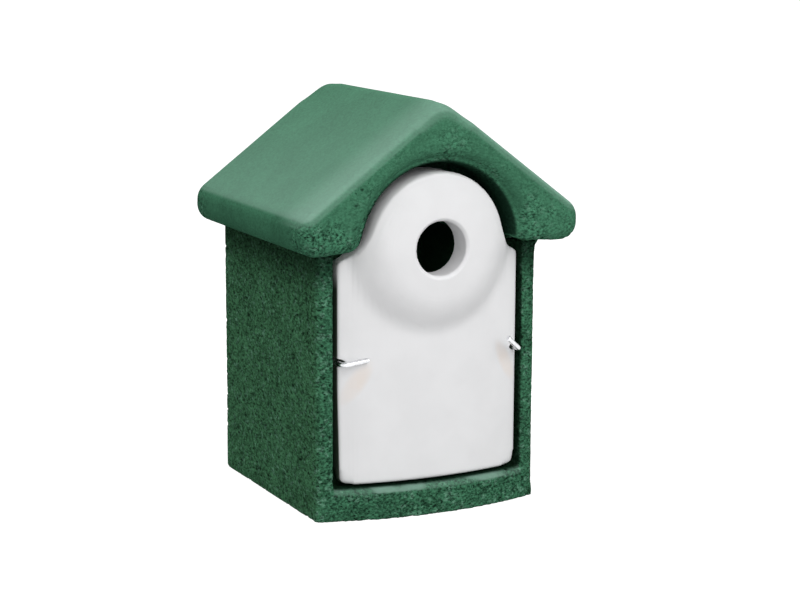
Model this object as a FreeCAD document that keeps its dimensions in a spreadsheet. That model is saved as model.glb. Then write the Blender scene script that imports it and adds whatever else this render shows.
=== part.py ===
"""Woodcrete nest box: a cast box with a bowed front, a gabled roof casting bedded on its walls, and a
loose domed front panel with the entrance hole, held by two turn hooks. Millimetres, +Z up, front
towards -Y, origin on the base plane below the middle of the roof."""
import FreeCAD, Part
import math
import os

import Sketcher

SIZES = (
    ("body_width", 144.2, "box, outside width"),
    ("body_depth", 141.5, "box, front corner to back face"),
    ("front_bulge", 12.5, "box, how far the front bows out between its corners"),
    ("corner_round", 3.0, "box, upright front corners"),
    ("wall_height", 157.5, "box, top of the walls"),
    ("side_wall", 20.0, "box, side wall at the chamber"),
    ("back_wall", 18.5, "box, back wall"),
    ("floor_thickness", 18.8, "box, floor and sill"),
    ("chamber_corner", 12.0, "box, upright inside corners at the back"),
    ("rim_width", 10.5, "box, front rim beside the panel"),
    ("rebate_depth", 11.3, "box, front corner to the ledge behind the panel"),
    ("rim_round", 2.0, "box, inner front edges of the rim"),
    ("sill_round", 5.0, "box, top front edge of the sill"),
    ("drain_diameter", 8.0, "box, drain holes in the floor"),
    ("drain_spacing", 62.0, "box, between drain holes"),
    ("bed_thickness", 1.5, "mortar bed between wall tops and roof"),
    ("bead_width", 3.0, "mortar bead under the eaves, out from the wall"),
    ("bead_height", 4.0, "mortar bead under the eaves, down the wall"),
    ("roof_length", 170.0, "roof, front to back"),
    ("roof_width", 179.0, "roof, eave to eave"),
    ("roof_pitch", 36.8, "roof, slope in degrees"),
    ("eave_face", 19.5, "roof, upright eave face before rounding"),
    ("back_overhang", 7.5, "roof, past the back wall"),
    ("eave_round_low", 10.5, "roof, lower eave edge"),
    ("eave_round_high", 12.0, "roof, upper eave edge"),
    ("ridge_round", 9.0, "roof, ridge"),
    ("gable_round", 7.0, "roof, outline of both gables"),
    ("arch_radius", 52.2, "roof, arch over the panel's dome"),
    ("arch_lip", 2.5, "roof, rounded front edge of the arch"),
    ("arch_flare", 6.0, "roof, rounded feet of the arch"),
    ("vault_radius", 44.0, "roof, hollow above the chamber"),
    ("panel_gap", 2.2, "panel to the rim, each side"),
    ("seat_gap", 0.3, "panel to the sill and to the ledge"),
    ("panel_edge", 9.5, "panel, thickness at its side edges"),
    ("panel_bulge", 8.0, "panel, how far its front bows out"),
    ("panel_arch", 45.5, "panel, arched top round the entrance"),
    ("panel_corner", 4.0, "panel, lower corners"),
    ("panel_edge_round", 2.0, "panel, front edges at the sides and bottom"),
    ("shoulder_blend", 20.0, "panel, hollow curve from the arch to the shoulder"),
    ("shoulder_angle", 14.0, "panel, where that curve leaves the arch, in degrees above level"),
    ("shoulder_round", 5.0, "panel, shoulder corner"),
    ("dome_face", 25.0, "dome, radius of its flat face"),
    ("dome_proud", 11.2, "dome, face ahead of the panel"),
    ("dome_roll", 16.0, "dome, convex edge of its face"),
    ("dome_slope", 45.0, "dome, slope of its side in degrees"),
    ("dome_root", 2.5, "dome, rooted behind the panel's side edges"),
    ("dome_blend", 12.0, "dome, hollow blend into the panel"),
    ("entrance_diameter", 32.0, "entrance hole"),
    ("entrance_round", 1.5, "entrance hole, front edge"),
    ("tunnel_length", 17.0, "entrance hole, length of its round wall"),
    ("tunnel_flare", 14.0, "entrance, how far the hollow behind it widens"),
    ("hook_wire", 3.0, "hook, wire diameter"),
    ("hook_height", 93.4, "hook, shank above the base"),
    ("hook_inset", 1.8, "hook, shank inside the panel's side edge"),
    ("hook_arm", 17.0, "hook, arm from the shank's axis to its tip"),
    ("hook_bend", 4.0, "hook, bend at the centre of the wire"),
    ("hook_lean_left", 5.0, "left hook, arm leaning back to the panel, in degrees"),
    ("hook_lean_right", 28.0, "right hook, arm standing away from the panel, in degrees"),
    ("hook_tip_bevel", 0.5, "hook, bevelled wire ends"),
    ("hook_rim_gap", 1.2, "hook, arm ahead of the rim"),
    ("hook_tilt_left", 5.0, "left hook, arm above level as it rests, in degrees"),
    ("hook_tilt_right", 36.0, "right hook, arm above level as it rests, in degrees"),
    ("shank_depth", 22.0, "hook, shank inside its plug"),
    ("running_gap", 0.05, "hook shank to plug bore"),
    ("notch_height", 7.0, "panel notch round the shank"),
    ("notch_gap", 1.3, "panel notch, its end to the shank"),
    ("hook_plug_diameter", 6.0, "hook plug"),
    ("hook_plug_length", 27.0, "hook plug"),
    ("strap_width", 24.0, "hanger strap"),
    ("strap_thickness", 2.0, "hanger strap"),
    ("strap_top", 153.0, "hanger strap, upper end above the base"),
    ("strap_tab", 32.0, "hanger strap, height of the tab that stands off the wall"),
    ("strap_flange", 36.0, "hanger strap, height of the part on the wall"),
    ("strap_standoff", 4.5, "hanger strap, tab off the wall"),
    ("strap_joggle", 45.0, "hanger strap, step away from the wall, in degrees above level"),
    ("strap_corner", 6.0, "hanger strap, rounded corners"),
    ("keyhole_diameter", 11.0, "keyhole, round part"),
    ("keyhole_slot", 5.6, "keyhole, width of its slot"),
    ("keyhole_rise", 9.0, "keyhole, slot end above the round part's centre"),
    ("keyhole_drop", 21.0, "keyhole, round part below the strap's upper end"),
    ("screw_diameter", 4.0, "hanger screw"),
    ("screw_length", 15.0, "hanger screw, below its head"),
    ("screw_head", 8.4, "hanger screw, head diameter"),
    ("screw_head_height", 2.6, "hanger screw, head"),
    ("screw_head_bevel", 1.3, "hanger screw, bevelled edge of its head"),
    ("screw_spacing", 18.0, "between the hanger screws"),
    ("screw_hole_gap", 0.3, "hanger screw to the strap's hole"),
    ("wall_plug_diameter", 6.5, "hanger plug"),
    ("wall_plug_length", 15.0, "hanger plug"),
)

doc = FreeCAD.newDocument("nest_box")
sheet = doc.addObject("Spreadsheet::Sheet", "Sizes")
for row, (alias, size, note) in enumerate(SIZES, start=1):
    sheet.set("A%d" % row, alias)
    sheet.set("B%d" % row, str(size))
    sheet.set("C%d" % row, note)
    sheet.setAlias("B%d" % row, alias)
doc.recompute()

# Places that several pieces share, as expressions of the sheet. Y grows towards the back.
HALF_BODY = "(Sizes.body_width / 2)"
BACK = "(Sizes.roof_length / 2 - Sizes.back_overhang)"
CORNER = f"({BACK} - Sizes.body_depth)"
FRONT_RADIUS = f"(({HALF_BODY}^2 + Sizes.front_bulge^2) / (2 * Sizes.front_bulge))"
FRONT_CENTRE = f"({CORNER} - Sizes.front_bulge + {FRONT_RADIUS})"
LEDGE = f"({CORNER} + Sizes.rebate_depth)"
HALF_CHAMBER = f"({HALF_BODY} - Sizes.side_wall)"
CHAMBER_BACK = f"({BACK} - Sizes.back_wall)"
HALF_JAMB = f"({HALF_BODY} - Sizes.rim_width)"
ROOF_BASE = "(Sizes.wall_height + Sizes.bed_thickness)"
HALF_ROOF = "(Sizes.roof_width / 2)"
ROOF_FRONT = "(-Sizes.roof_length / 2)"
ENTRANCE_Z = ROOF_BASE
HALF_PANEL = f"({HALF_JAMB} - Sizes.panel_gap)"
PANEL_BASE = "(Sizes.floor_thickness + Sizes.seat_gap)"
PANEL_BACK = f"({LEDGE} - Sizes.seat_gap)"
PANEL_SIDE = f"({PANEL_BACK} - Sizes.panel_edge)"
PANEL_CENTRE = f"({PANEL_SIDE} - Sizes.panel_bulge)"
PANEL_RADIUS = f"(({HALF_PANEL}^2 + Sizes.panel_bulge^2) / (2 * Sizes.panel_bulge))"
DOME_FACE = f"({PANEL_CENTRE} - Sizes.dome_proud)"
SHANK_X = f"({HALF_PANEL} - Sizes.hook_inset)"
WIRE_RADIUS = "(Sizes.hook_wire / 2)"
RIM_FRONT = f"({FRONT_CENTRE} - sqrt({FRONT_RADIUS}^2 - {HALF_JAMB}^2))"
ELBOW = f"({RIM_FRONT} - Sizes.hook_rim_gap - {WIRE_RADIUS})"
STRAP_OUTER = f"({BACK} + Sizes.strap_thickness)"
KEYHOLE_Z = "(Sizes.strap_top - Sizes.keyhole_drop)"
JOGGLE_RISE = "(Sizes.strap_standoff * tan(Sizes.strap_joggle))"
STRAP_FOOT = f"(Sizes.strap_top - Sizes.strap_tab - {JOGGLE_RISE} - Sizes.strap_flange)"
LOW_SCREW_Z = f"({STRAP_FOOT} + (Sizes.strap_flange - Sizes.screw_spacing) / 2)"
HIGH_SCREW_Z = f"({LOW_SCREW_Z} + Sizes.screw_spacing)"
# How far a cutting outline runs past the faces that it has to clear.
OVERCUT = 5.0
# Lengths closer than this are taken as the same when edges are picked.
SAME = 0.01


def number(expression):
    """The value, in millimetres or degrees, of an expression of the sheet."""
    return float(sheet.evalExpression(expression))


def new_body(label):
    """An empty body that will be one sub-part."""
    body = doc.addObject("PartDesign::Body", label)
    body.Label = label
    return body


def sketch_on(body, name, role, along="0", raised="0"):
    """A sketch on one of the body's origin planes, moved along its normal and up in the plane."""
    sketch = body.newObject("Sketcher::SketchObject", name)
    plane = next(item for item in body.Origin.OriginFeatures if item.Role == role)
    sketch.AttachmentSupport = (plane, [""])
    sketch.MapMode = "FlatFace"
    sketch.setExpression("AttachmentOffset.Base.z", along)
    sketch.setExpression("AttachmentOffset.Base.y", raised)
    return sketch


def bind(sketch, kind, *place, expression):
    """Add one dimension to a sketch and tie it to the sheet."""
    index = sketch.addConstraint(Sketcher.Constraint(kind, *place, number(expression)))
    sketch.setExpression("Constraints[%d]" % index, expression)


def fix_point(sketch, geometry, vertex, x, y):
    """Dimension a point from the sketch's origin."""
    for kind, expression in (("DistanceX", x), ("DistanceY", y)):
        bind(sketch, kind, -1, 1, geometry, vertex, expression=expression)


def arc_between(start, end, radius, left):
    """The arc of under half a turn from start to end, turning left or right on the way."""
    chord = end - start
    reach = math.sqrt(max(radius ** 2 - (chord.Length / 2) ** 2, 0.0))
    side = FreeCAD.Vector(-chord.y, chord.x, 0).normalize() * (reach if left else -reach)
    centre = (start + end) / 2 + side
    first, last = (start, end) if left else (end, start)
    angles = [math.atan2(point.y - centre.y, point.x - centre.x) for point in (first, last)]
    if angles[1] < angles[0]:
        angles[1] += 2 * math.pi
    circle = Part.Circle(centre, FreeCAD.Vector(0, 0, 1), radius)
    return Part.ArcOfCircle(circle, angles[0], angles[1])


def outline(sketch, corners, arcs=None, closed=True):
    """Draw an outline through corners given as (x, y) expressions. arcs gives the radius of each side
    that is round, by the side's number, and whether it turns left on the way round."""
    arcs = arcs or {}
    points = [FreeCAD.Vector(number(x), number(y), 0) for x, y in corners]
    sides = len(points) if closed else len(points) - 1
    ends = []
    for side in range(sides):
        start = points[side]
        end = points[(side + 1) % len(points)]
        if side in arcs:
            radius, left = arcs[side]
            drawn = sketch.addGeometry(arc_between(start, end, number(radius), left))
            ends.append((drawn, 1, 2) if left else (drawn, 2, 1))
        else:
            ends.append((sketch.addGeometry(Part.LineSegment(start, end)), 1, 2))
    for side, (drawn, _, last) in enumerate(ends):
        if closed or side + 1 < sides:
            after, first, _ = ends[(side + 1) % sides]
            sketch.addConstraint(Sketcher.Constraint("Coincident", drawn, last, after, first))
    for side, (drawn, first, _) in enumerate(ends):
        fix_point(sketch, drawn, first, *corners[side])
        if side in arcs:
            bind(sketch, "Radius", drawn, expression=arcs[side][0])
    if not closed:
        fix_point(sketch, ends[-1][0], ends[-1][2], *corners[-1])


def circle(sketch, x, y, radius):
    """Draw a circle dimensioned from the sketch's origin."""
    centre = FreeCAD.Vector(number(x), number(y), 0)
    drawn = sketch.addGeometry(Part.Circle(centre, FreeCAD.Vector(0, 0, 1), number(radius)))
    fix_point(sketch, drawn, 3, x, y)
    bind(sketch, "Radius", drawn, expression=radius)


def rectangle(sketch, left, right, low, high):
    """Draw an upright rectangle."""
    outline(sketch, [(left, low), (right, low), (right, high), (left, high)])


def feature(body, kind, name, sketch, length=None, **settings):
    """Add a feature made from a sketch, and see that a cut takes material away."""
    before = body.Shape.Volume if not body.Shape.isNull() else 0.0
    made = body.newObject("PartDesign::" + kind, name)
    made.Profile = sketch
    for key, setting in settings.items():
        setattr(made, key, setting)
    if length:
        made.setExpression("Length", length)
    doc.recompute()
    grows = body.Shape.Volume - before
    if kind in ("Pocket", "Groove") and grows > -SAME:
        raise RuntimeError("%s cuts nothing" % name)
    return made


def edges_of(made, wanted):
    """Names of the edges of a feature that pass a test."""
    return ["Edge%d" % index for index, edge in enumerate(made.Shape.Edges, start=1) if wanted(edge)]


def fillet(body, name, base, wanted, radius):
    """Round the edges of a feature that pass a test."""
    made = body.newObject("PartDesign::Fillet", name)
    made.Base = (base, edges_of(base, wanted))
    made.setExpression("Radius", radius)
    doc.recompute()
    return made


def bevel(body, name, base, wanted, size):
    """Bevel the edges of a feature that pass a test."""
    made = body.newObject("PartDesign::Chamfer", name)
    made.Base = (base, edges_of(base, wanted))
    made.setExpression("Size", size)
    doc.recompute()
    return made


def same(a, b):
    """Whether two lengths are the same."""
    return abs(a - b) < SAME


def runs_along(edge, axis):
    """Whether an edge is a straight line along an axis, given as x, y or z."""
    if edge.Curve.TypeId != "Part::GeomLine":
        return False
    return same(abs(getattr(edge.tangentAt(edge.FirstParameter), axis)), 1.0)


def lies_at(edge, **place):
    """Whether all of an edge lies at the given x, y or z."""
    box = edge.BoundBox
    return all(
        same(getattr(box, axis.upper() + "Min"), at) and same(getattr(box, axis.upper() + "Max"), at)
        for axis, at in place.items()
    )


def front_corner(x, radius, towards):
    """A rounded corner between a wall's face at x and the bowed front, with the wall lying towards + or -
    from that face: the y where the face ends, then the x and y where the front begins."""
    inner = f"({FRONT_RADIUS} - {radius})"
    across = f"({x} {towards} {radius})"
    down = f"sqrt({inner}^2 - {across}^2)"
    grow = f"({FRONT_RADIUS} / {inner})"
    return f"({FRONT_CENTRE} - {down})", f"({across} * {grow})", f"({FRONT_CENTRE} - {down} * {grow})"


def slab_plan(sketch):
    """The floor seen from above: straight back and sides, bowed front."""
    side_y, front_x, front_y = front_corner(HALF_BODY, "Sizes.corner_round", "-")
    outline(
        sketch,
        [
            (HALF_BODY, BACK),
            (f"-{HALF_BODY}", BACK),
            (f"-{HALF_BODY}", side_y),
            (f"-{front_x}", front_y),
            (front_x, front_y),
            (HALF_BODY, side_y),
        ],
        arcs={
            2: ("Sizes.corner_round", True),
            3: (FRONT_RADIUS, True),
            4: ("Sizes.corner_round", True),
        },
    )


def wall_plan(sketch):
    """The walls seen from above: back, sides, the ledges behind the panel and the rims beside it."""
    side_y, front_x, front_y = front_corner(HALF_BODY, "Sizes.corner_round", "-")
    jamb_y, rim_x, rim_y = front_corner(HALF_JAMB, "Sizes.rim_round", "+")
    corner_x = f"({HALF_CHAMBER} - Sizes.chamber_corner)"
    corner_y = f"({CHAMBER_BACK} - Sizes.chamber_corner)"
    right_half = [
        (corner_x, CHAMBER_BACK),
        (HALF_CHAMBER, corner_y),
        (HALF_CHAMBER, LEDGE),
        (HALF_JAMB, LEDGE),
        (HALF_JAMB, jamb_y),
        (rim_x, rim_y),
        (front_x, front_y),
        (HALF_BODY, side_y),
        (HALF_BODY, BACK),
    ]
    left_half = [(f"-{x}", y) for x, y in reversed(right_half)]
    round_sides = {
        0: ("Sizes.chamber_corner", False),
        4: ("Sizes.rim_round", True),
        5: (FRONT_RADIUS, True),
        6: ("Sizes.corner_round", True),
    }
    last = len(right_half) + len(left_half) - 2
    mirrored = {last - side: turn for side, turn in round_sides.items()}
    outline(sketch, right_half + left_half, arcs={**round_sides, **mirrored})


def make_box():
    """Cast box: floor, side walls and back in one, open at the front and top."""
    body = new_body("box_body")
    floor = sketch_on(body, "box_floor_plan", "XY_Plane")
    slab_plan(floor)
    slab = feature(body, "Pad", "box_floor", floor, "Sizes.floor_thickness")
    sill = number("Sizes.floor_thickness")
    back = number(BACK)
    fillet(
        body, "box_sill", slab,
        lambda edge: lies_at(edge, z=sill) and not lies_at(edge, y=back), "Sizes.sill_round",
    )
    plan = sketch_on(body, "box_wall_plan", "XY_Plane")
    wall_plan(plan)
    feature(body, "Pad", "box_walls", plan, "Sizes.wall_height")
    sockets = sketch_on(body, "box_hook_sockets", "XZ_Plane", along=f"-{LEDGE}")
    for side in ("", "-"):
        circle(sockets, side + SHANK_X, "Sizes.hook_height", "Sizes.hook_plug_diameter / 2")
    feature(body, "Pocket", "box_hook_holes", sockets, "Sizes.hook_plug_length")
    rear = sketch_on(body, "box_hanger_sockets", "XZ_Plane", along=f"-{BACK}")
    for height in (LOW_SCREW_Z, HIGH_SCREW_Z):
        circle(rear, "0", height, "Sizes.wall_plug_diameter / 2")
    feature(body, "Pocket", "box_hanger_holes", rear, "Sizes.wall_plug_length", Reversed=True)
    drains = sketch_on(body, "box_drain_plan", "XY_Plane", along="Sizes.floor_thickness")
    middle = f"(({LEDGE} + {CHAMBER_BACK}) / 2)"
    for side in ("", "-"):
        for step in ("+", "-"):
            circle(
                drains, side + "Sizes.drain_spacing / 2", f"{middle} {step} Sizes.drain_spacing / 2",
                "Sizes.drain_diameter / 2",
            )
    feature(body, "Pocket", "box_drains", drains, "Sizes.floor_thickness")
    return body


def make_bed():
    """Mortar bed on the wall tops, squeezed out to a bead under both eaves."""
    body = new_body("roof_mortar_bed")
    plan = sketch_on(body, "bed_plan", "XY_Plane", along="Sizes.wall_height")
    wall_plan(plan)
    feature(body, "Pad", "bed_layer", plan, "Sizes.bed_thickness")
    bead = sketch_on(body, "bed_bead", "XZ_Plane", along=f"-{BACK}")
    low = f"({ROOF_BASE} - Sizes.bead_height)"
    for side in ("", "-"):
        outline(
            bead,
            [
                (side + HALF_BODY, low),
                (f"{side}({HALF_BODY} + Sizes.bead_width)", ROOF_BASE),
                (side + HALF_BODY, ROOF_BASE),
            ],
        )
    feature(body, "Pad", "bed_beads", bead, "Sizes.body_depth - Sizes.corner_round")
    return body


def make_roof():
    """Roof casting: a gabled block with an arch in front and a vault above the chamber."""
    body = new_body("roof")
    gable = sketch_on(body, "roof_gable", "XZ_Plane")
    eave = f"({ROOF_BASE} + Sizes.eave_face)"
    outline(
        gable,
        [
            (f"-{HALF_ROOF}", ROOF_BASE),
            (HALF_ROOF, ROOF_BASE),
            (HALF_ROOF, eave),
            ("0", f"{eave} + {HALF_ROOF} * tan(Sizes.roof_pitch)"),
            (f"-{HALF_ROOF}", eave),
        ],
    )
    block = feature(body, "Pad", "roof_block", gable, "Sizes.roof_length", Midplane=True)
    half_roof = number(HALF_ROOF)
    base = number(ROOF_BASE)
    low = fillet(
        body, "roof_eaves_low", block,
        lambda edge: runs_along(edge, "y") and lies_at(edge, z=base), "Sizes.eave_round_low",
    )
    high = fillet(
        body, "roof_eaves_high", low,
        lambda edge: runs_along(edge, "y") and same(abs(edge.CenterOfMass.x), half_roof)
        and same(edge.CenterOfMass.z, number(eave)),
        "Sizes.eave_round_high",
    )
    ridge = fillet(
        body, "roof_ridge", high, lambda edge: runs_along(edge, "y") and lies_at(edge, x=0.0),
        "Sizes.ridge_round",
    )
    front = number(ROOF_FRONT)
    fillet(
        body, "roof_gable_edges", ridge,
        lambda edge: lies_at(edge, y=front) or lies_at(edge, y=-front), "Sizes.gable_round",
    )
    arch = sketch_on(body, "roof_arch_profile", "YZ_Plane", raised=ENTRANCE_Z)
    mouth = "(Sizes.arch_radius + Sizes.arch_lip)"
    outline(
        arch,
        [
            (f"{ROOF_FRONT} - {OVERCUT}", "0"),
            (CHAMBER_BACK, "0"),
            (CHAMBER_BACK, "Sizes.vault_radius"),
            (LEDGE, "Sizes.vault_radius"),
            (LEDGE, "Sizes.arch_radius"),
            (f"{ROOF_FRONT} + Sizes.arch_lip", "Sizes.arch_radius"),
            (ROOF_FRONT, mouth),
            (f"{ROOF_FRONT} - {OVERCUT}", mouth),
        ],
        arcs={5: ("Sizes.arch_lip", True)},
    )
    feature(body, "Groove", "roof_arch", arch, ReferenceAxis=(arch, ["H_Axis"]), Angle=360.0)
    feet = sketch_on(body, "roof_arch_feet", "XZ_Plane", along=f"-{LEDGE}")
    spring = f"({ROOF_BASE} + Sizes.arch_flare)"
    toe = "(Sizes.arch_radius + Sizes.arch_flare)"
    for side in ("", "-"):
        outline(
            feet,
            [
                (side + "Sizes.arch_radius", ROOF_BASE),
                (side + toe, ROOF_BASE),
                (side + "Sizes.arch_radius", spring),
            ],
            arcs={1: ("Sizes.arch_flare", side == "-")},
        )
    feature(body, "Pocket", "roof_arch_flares", feet, Type="ThroughAll", Reversed=True)
    return body


def panel_outline(sketch):
    """The panel seen from the front: straight sides, hollow shoulders and an arched top."""
    reach = "(Sizes.panel_arch + Sizes.shoulder_blend)"
    blend_x = f"({reach} * cos(Sizes.shoulder_angle))"
    blend_z = f"({ENTRANCE_Z} + {reach} * sin(Sizes.shoulder_angle))"
    arch_x = "(Sizes.panel_arch * cos(Sizes.shoulder_angle))"
    arch_z = f"({ENTRANCE_Z} + Sizes.panel_arch * sin(Sizes.shoulder_angle))"
    inward = f"({blend_x} - {HALF_PANEL} + Sizes.shoulder_round)"
    both = "(Sizes.shoulder_blend + Sizes.shoulder_round)"
    drop = f"sqrt({both}^2 - {inward}^2)"
    share = f"(Sizes.shoulder_blend / {both})"
    turn_x = f"({blend_x} - {share} * {inward})"
    turn_z = f"({blend_z} - {share} * {drop})"
    shoulder_z = f"({blend_z} - {drop})"
    low_x = f"({HALF_PANEL} - Sizes.panel_corner)"
    low_z = f"({PANEL_BASE} + Sizes.panel_corner)"
    outline(
        sketch,
        [
            (f"-{low_x}", PANEL_BASE),
            (low_x, PANEL_BASE),
            (HALF_PANEL, low_z),
            (HALF_PANEL, shoulder_z),
            (turn_x, turn_z),
            (arch_x, arch_z),
            (f"-{arch_x}", arch_z),
            (f"-{turn_x}", turn_z),
            (f"-{HALF_PANEL}", shoulder_z),
            (f"-{HALF_PANEL}", low_z),
        ],
        arcs={
            1: ("Sizes.panel_corner", True),
            3: ("Sizes.shoulder_round", True),
            4: ("Sizes.shoulder_blend", False),
            5: ("Sizes.panel_arch", True),
            6: ("Sizes.shoulder_blend", False),
            7: ("Sizes.shoulder_round", True),
            9: ("Sizes.panel_corner", True),
        },
    )


def make_panel():
    """Front panel: a bowed plate with a dome round the entrance and a notch for each hook."""
    body = new_body("front_panel")
    plan = sketch_on(body, "panel_plan", "XY_Plane", along=PANEL_BASE)
    outline(
        plan,
        [
            (HALF_PANEL, PANEL_BACK),
            (f"-{HALF_PANEL}", PANEL_BACK),
            (f"-{HALF_PANEL}", PANEL_SIDE),
            (HALF_PANEL, PANEL_SIDE),
        ],
        arcs={2: (PANEL_RADIUS, True)},
    )
    top = f"({ENTRANCE_Z} + Sizes.panel_arch + Sizes.dome_blend + {OVERCUT})"
    plate = feature(body, "Pad", "panel_plate", plan, f"{top} - {PANEL_BASE}")
    side = number(PANEL_SIDE)
    base = number(PANEL_BASE)
    fillet(
        body, "panel_front_edges", plate,
        lambda edge: (runs_along(edge, "z") and same(edge.BoundBox.YMin, side))
        or (lies_at(edge, z=base) and edge.Curve.TypeId == "Part::GeomCircle"),
        "Sizes.panel_edge_round",
    )
    dome = sketch_on(body, "dome_profile", "YZ_Plane", raised=ENTRANCE_Z)
    roll_y = f"({DOME_FACE} + Sizes.dome_roll * (1 - cos(Sizes.dome_slope)))"
    roll_r = "(Sizes.dome_face + Sizes.dome_roll * sin(Sizes.dome_slope))"
    root_y = f"({PANEL_SIDE} + Sizes.dome_root)"
    root_r = f"({roll_r} + ({root_y} - {roll_y}) / tan(Sizes.dome_slope))"
    outline(
        dome,
        [
            (DOME_FACE, "0"),
            (root_y, "0"),
            (root_y, root_r),
            (roll_y, roll_r),
            (DOME_FACE, "Sizes.dome_face"),
        ],
        arcs={3: ("Sizes.dome_roll", True)},
    )
    domed = feature(body, "Revolution", "dome", dome, ReferenceAxis=(dome, ["H_Axis"]), Angle=360.0)
    bow = number(PANEL_RADIUS)
    fillet(body, "dome_blend", domed, lambda edge: meets_bow(domed, edge, bow), "Sizes.dome_blend")
    trim = sketch_on(body, "panel_front_view", "XZ_Plane", along=f"-{PANEL_BACK}")
    wide = f"({HALF_PANEL} + {OVERCUT})"
    rectangle(trim, f"-{wide}", wide, f"{PANEL_BASE} - {OVERCUT}", f"{top} + {OVERCUT}")
    panel_outline(trim)
    feature(body, "Pocket", "panel_trim", trim, Type="ThroughAll", Reversed=True)
    hole = sketch_on(body, "entrance_profile", "YZ_Plane", raised=ENTRANCE_Z)
    radius = "(Sizes.entrance_diameter / 2)"
    tunnel_end = f"({DOME_FACE} + Sizes.tunnel_length)"
    outline(
        hole,
        [
            (f"{DOME_FACE} - {OVERCUT}", "0"),
            (PANEL_BACK, "0"),
            (PANEL_BACK, f"{radius} + Sizes.tunnel_flare"),
            (tunnel_end, radius),
            (f"{DOME_FACE} + Sizes.entrance_round", radius),
            (DOME_FACE, f"{radius} + Sizes.entrance_round"),
            (f"{DOME_FACE} - {OVERCUT}", f"{radius} + Sizes.entrance_round"),
        ],
        arcs={4: ("Sizes.entrance_round", True)},
    )
    feature(body, "Groove", "entrance", hole, ReferenceAxis=(hole, ["H_Axis"]), Angle=360.0)
    notches = sketch_on(body, "hook_notches", "XZ_Plane", along=f"-{PANEL_BACK}")
    half = "(Sizes.notch_height / 2)"
    end_x = f"({SHANK_X} - {WIRE_RADIUS} - Sizes.notch_gap)"
    for hand in ("", "-"):
        turns = hand == "-"
        outline(
            notches,
            [
                (f"{hand}({HALF_PANEL} + {OVERCUT})", f"Sizes.hook_height + {half}"),
                (f"{hand}({end_x} + {half})", f"Sizes.hook_height + {half}"),
                (hand + end_x, "Sizes.hook_height"),
                (f"{hand}({end_x} + {half})", f"Sizes.hook_height - {half}"),
                (f"{hand}({HALF_PANEL} + {OVERCUT})", f"Sizes.hook_height - {half}"),
            ],
            arcs={1: (half, not turns), 2: (half, not turns)},
        )
    feature(body, "Pocket", "panel_notches", notches, Type="ThroughAll", Reversed=True)
    return body


def meets_bow(made, edge, bow):
    """Whether an edge is where the dome's cone runs into the bowed face of the plate."""
    faces = [face for face in made.Shape.Faces if any(edge.isSame(other) for other in face.Edges)]
    kinds = {face.Surface.TypeId for face in faces}
    return "Part::GeomCone" in kinds and any(
        face.Surface.TypeId == "Part::GeomCylinder" and same(face.Surface.Radius, bow) for face in faces
    )


def make_hook(label, side, angle, lean):
    """Turn hook: a bent wire whose plain shank turns in its plug. angle lifts the arm from +X, and lean
    tips it back towards the box."""
    body = new_body(label)
    route = sketch_on(body, label + "_route", "XY_Plane")
    tangent = f"(Sizes.hook_bend * tan((90 + {lean}) / 2))"
    lean_x = f"cos({lean})"
    lean_y = f"sin({lean})"
    inner = f"({LEDGE} + Sizes.shank_depth)"
    outline(
        route,
        [
            ("0", inner),
            ("0", f"{ELBOW} + {tangent}"),
            (f"{tangent} * {lean_x}", f"{ELBOW} + {tangent} * {lean_y}"),
            (f"Sizes.hook_arm * {lean_x}", f"{ELBOW} + Sizes.hook_arm * {lean_y}"),
        ],
        arcs={1: ("Sizes.hook_bend", True)},
        closed=False,
    )
    section = sketch_on(body, label + "_section", "XZ_Plane", along=f"-{inner}")
    circle(section, "0", "0", WIRE_RADIUS)
    wire = feature(body, "AdditivePipe", label + "_wire", section, Spine=route)
    tip = number(f"Sizes.hook_arm * {lean_x}")
    bevel(
        body, label + "_ends", wire, lambda edge: at_wire_end(edge, number(inner), tip),
        "Sizes.hook_tip_bevel",
    )
    body.Placement = FreeCAD.Placement(FreeCAD.Vector(), FreeCAD.Rotation(FreeCAD.Vector(0, -1, 0), 1.0))
    body.setExpression("Placement.Base.x", side + SHANK_X)
    body.setExpression("Placement.Base.z", "Sizes.hook_height")
    body.setExpression("Placement.Rotation.Angle", angle)
    return body


def at_wire_end(edge, inner, tip):
    """Whether an edge of a hook is the circle round one of the wire's two ends."""
    if edge.Curve.TypeId != "Part::GeomCircle" or not same(edge.Curve.Radius, number(WIRE_RADIUS)):
        return False
    return lies_at(edge, y=inner) or same(edge.CenterOfMass.x, tip)


def make_hook_plugs():
    """Nylon plugs in the ledges, bored for the hook shanks."""
    body = new_body("hook_plugs")
    ring = sketch_on(body, "hook_plug_section", "XZ_Plane", along=f"-{LEDGE}")
    for side in ("", "-"):
        circle(ring, side + SHANK_X, "Sizes.hook_height", "Sizes.hook_plug_diameter / 2")
        circle(ring, side + SHANK_X, "Sizes.hook_height", f"{WIRE_RADIUS} + Sizes.running_gap")
    feature(body, "Pad", "hook_plug_tubes", ring, "Sizes.hook_plug_length", Reversed=True)
    return body


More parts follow.
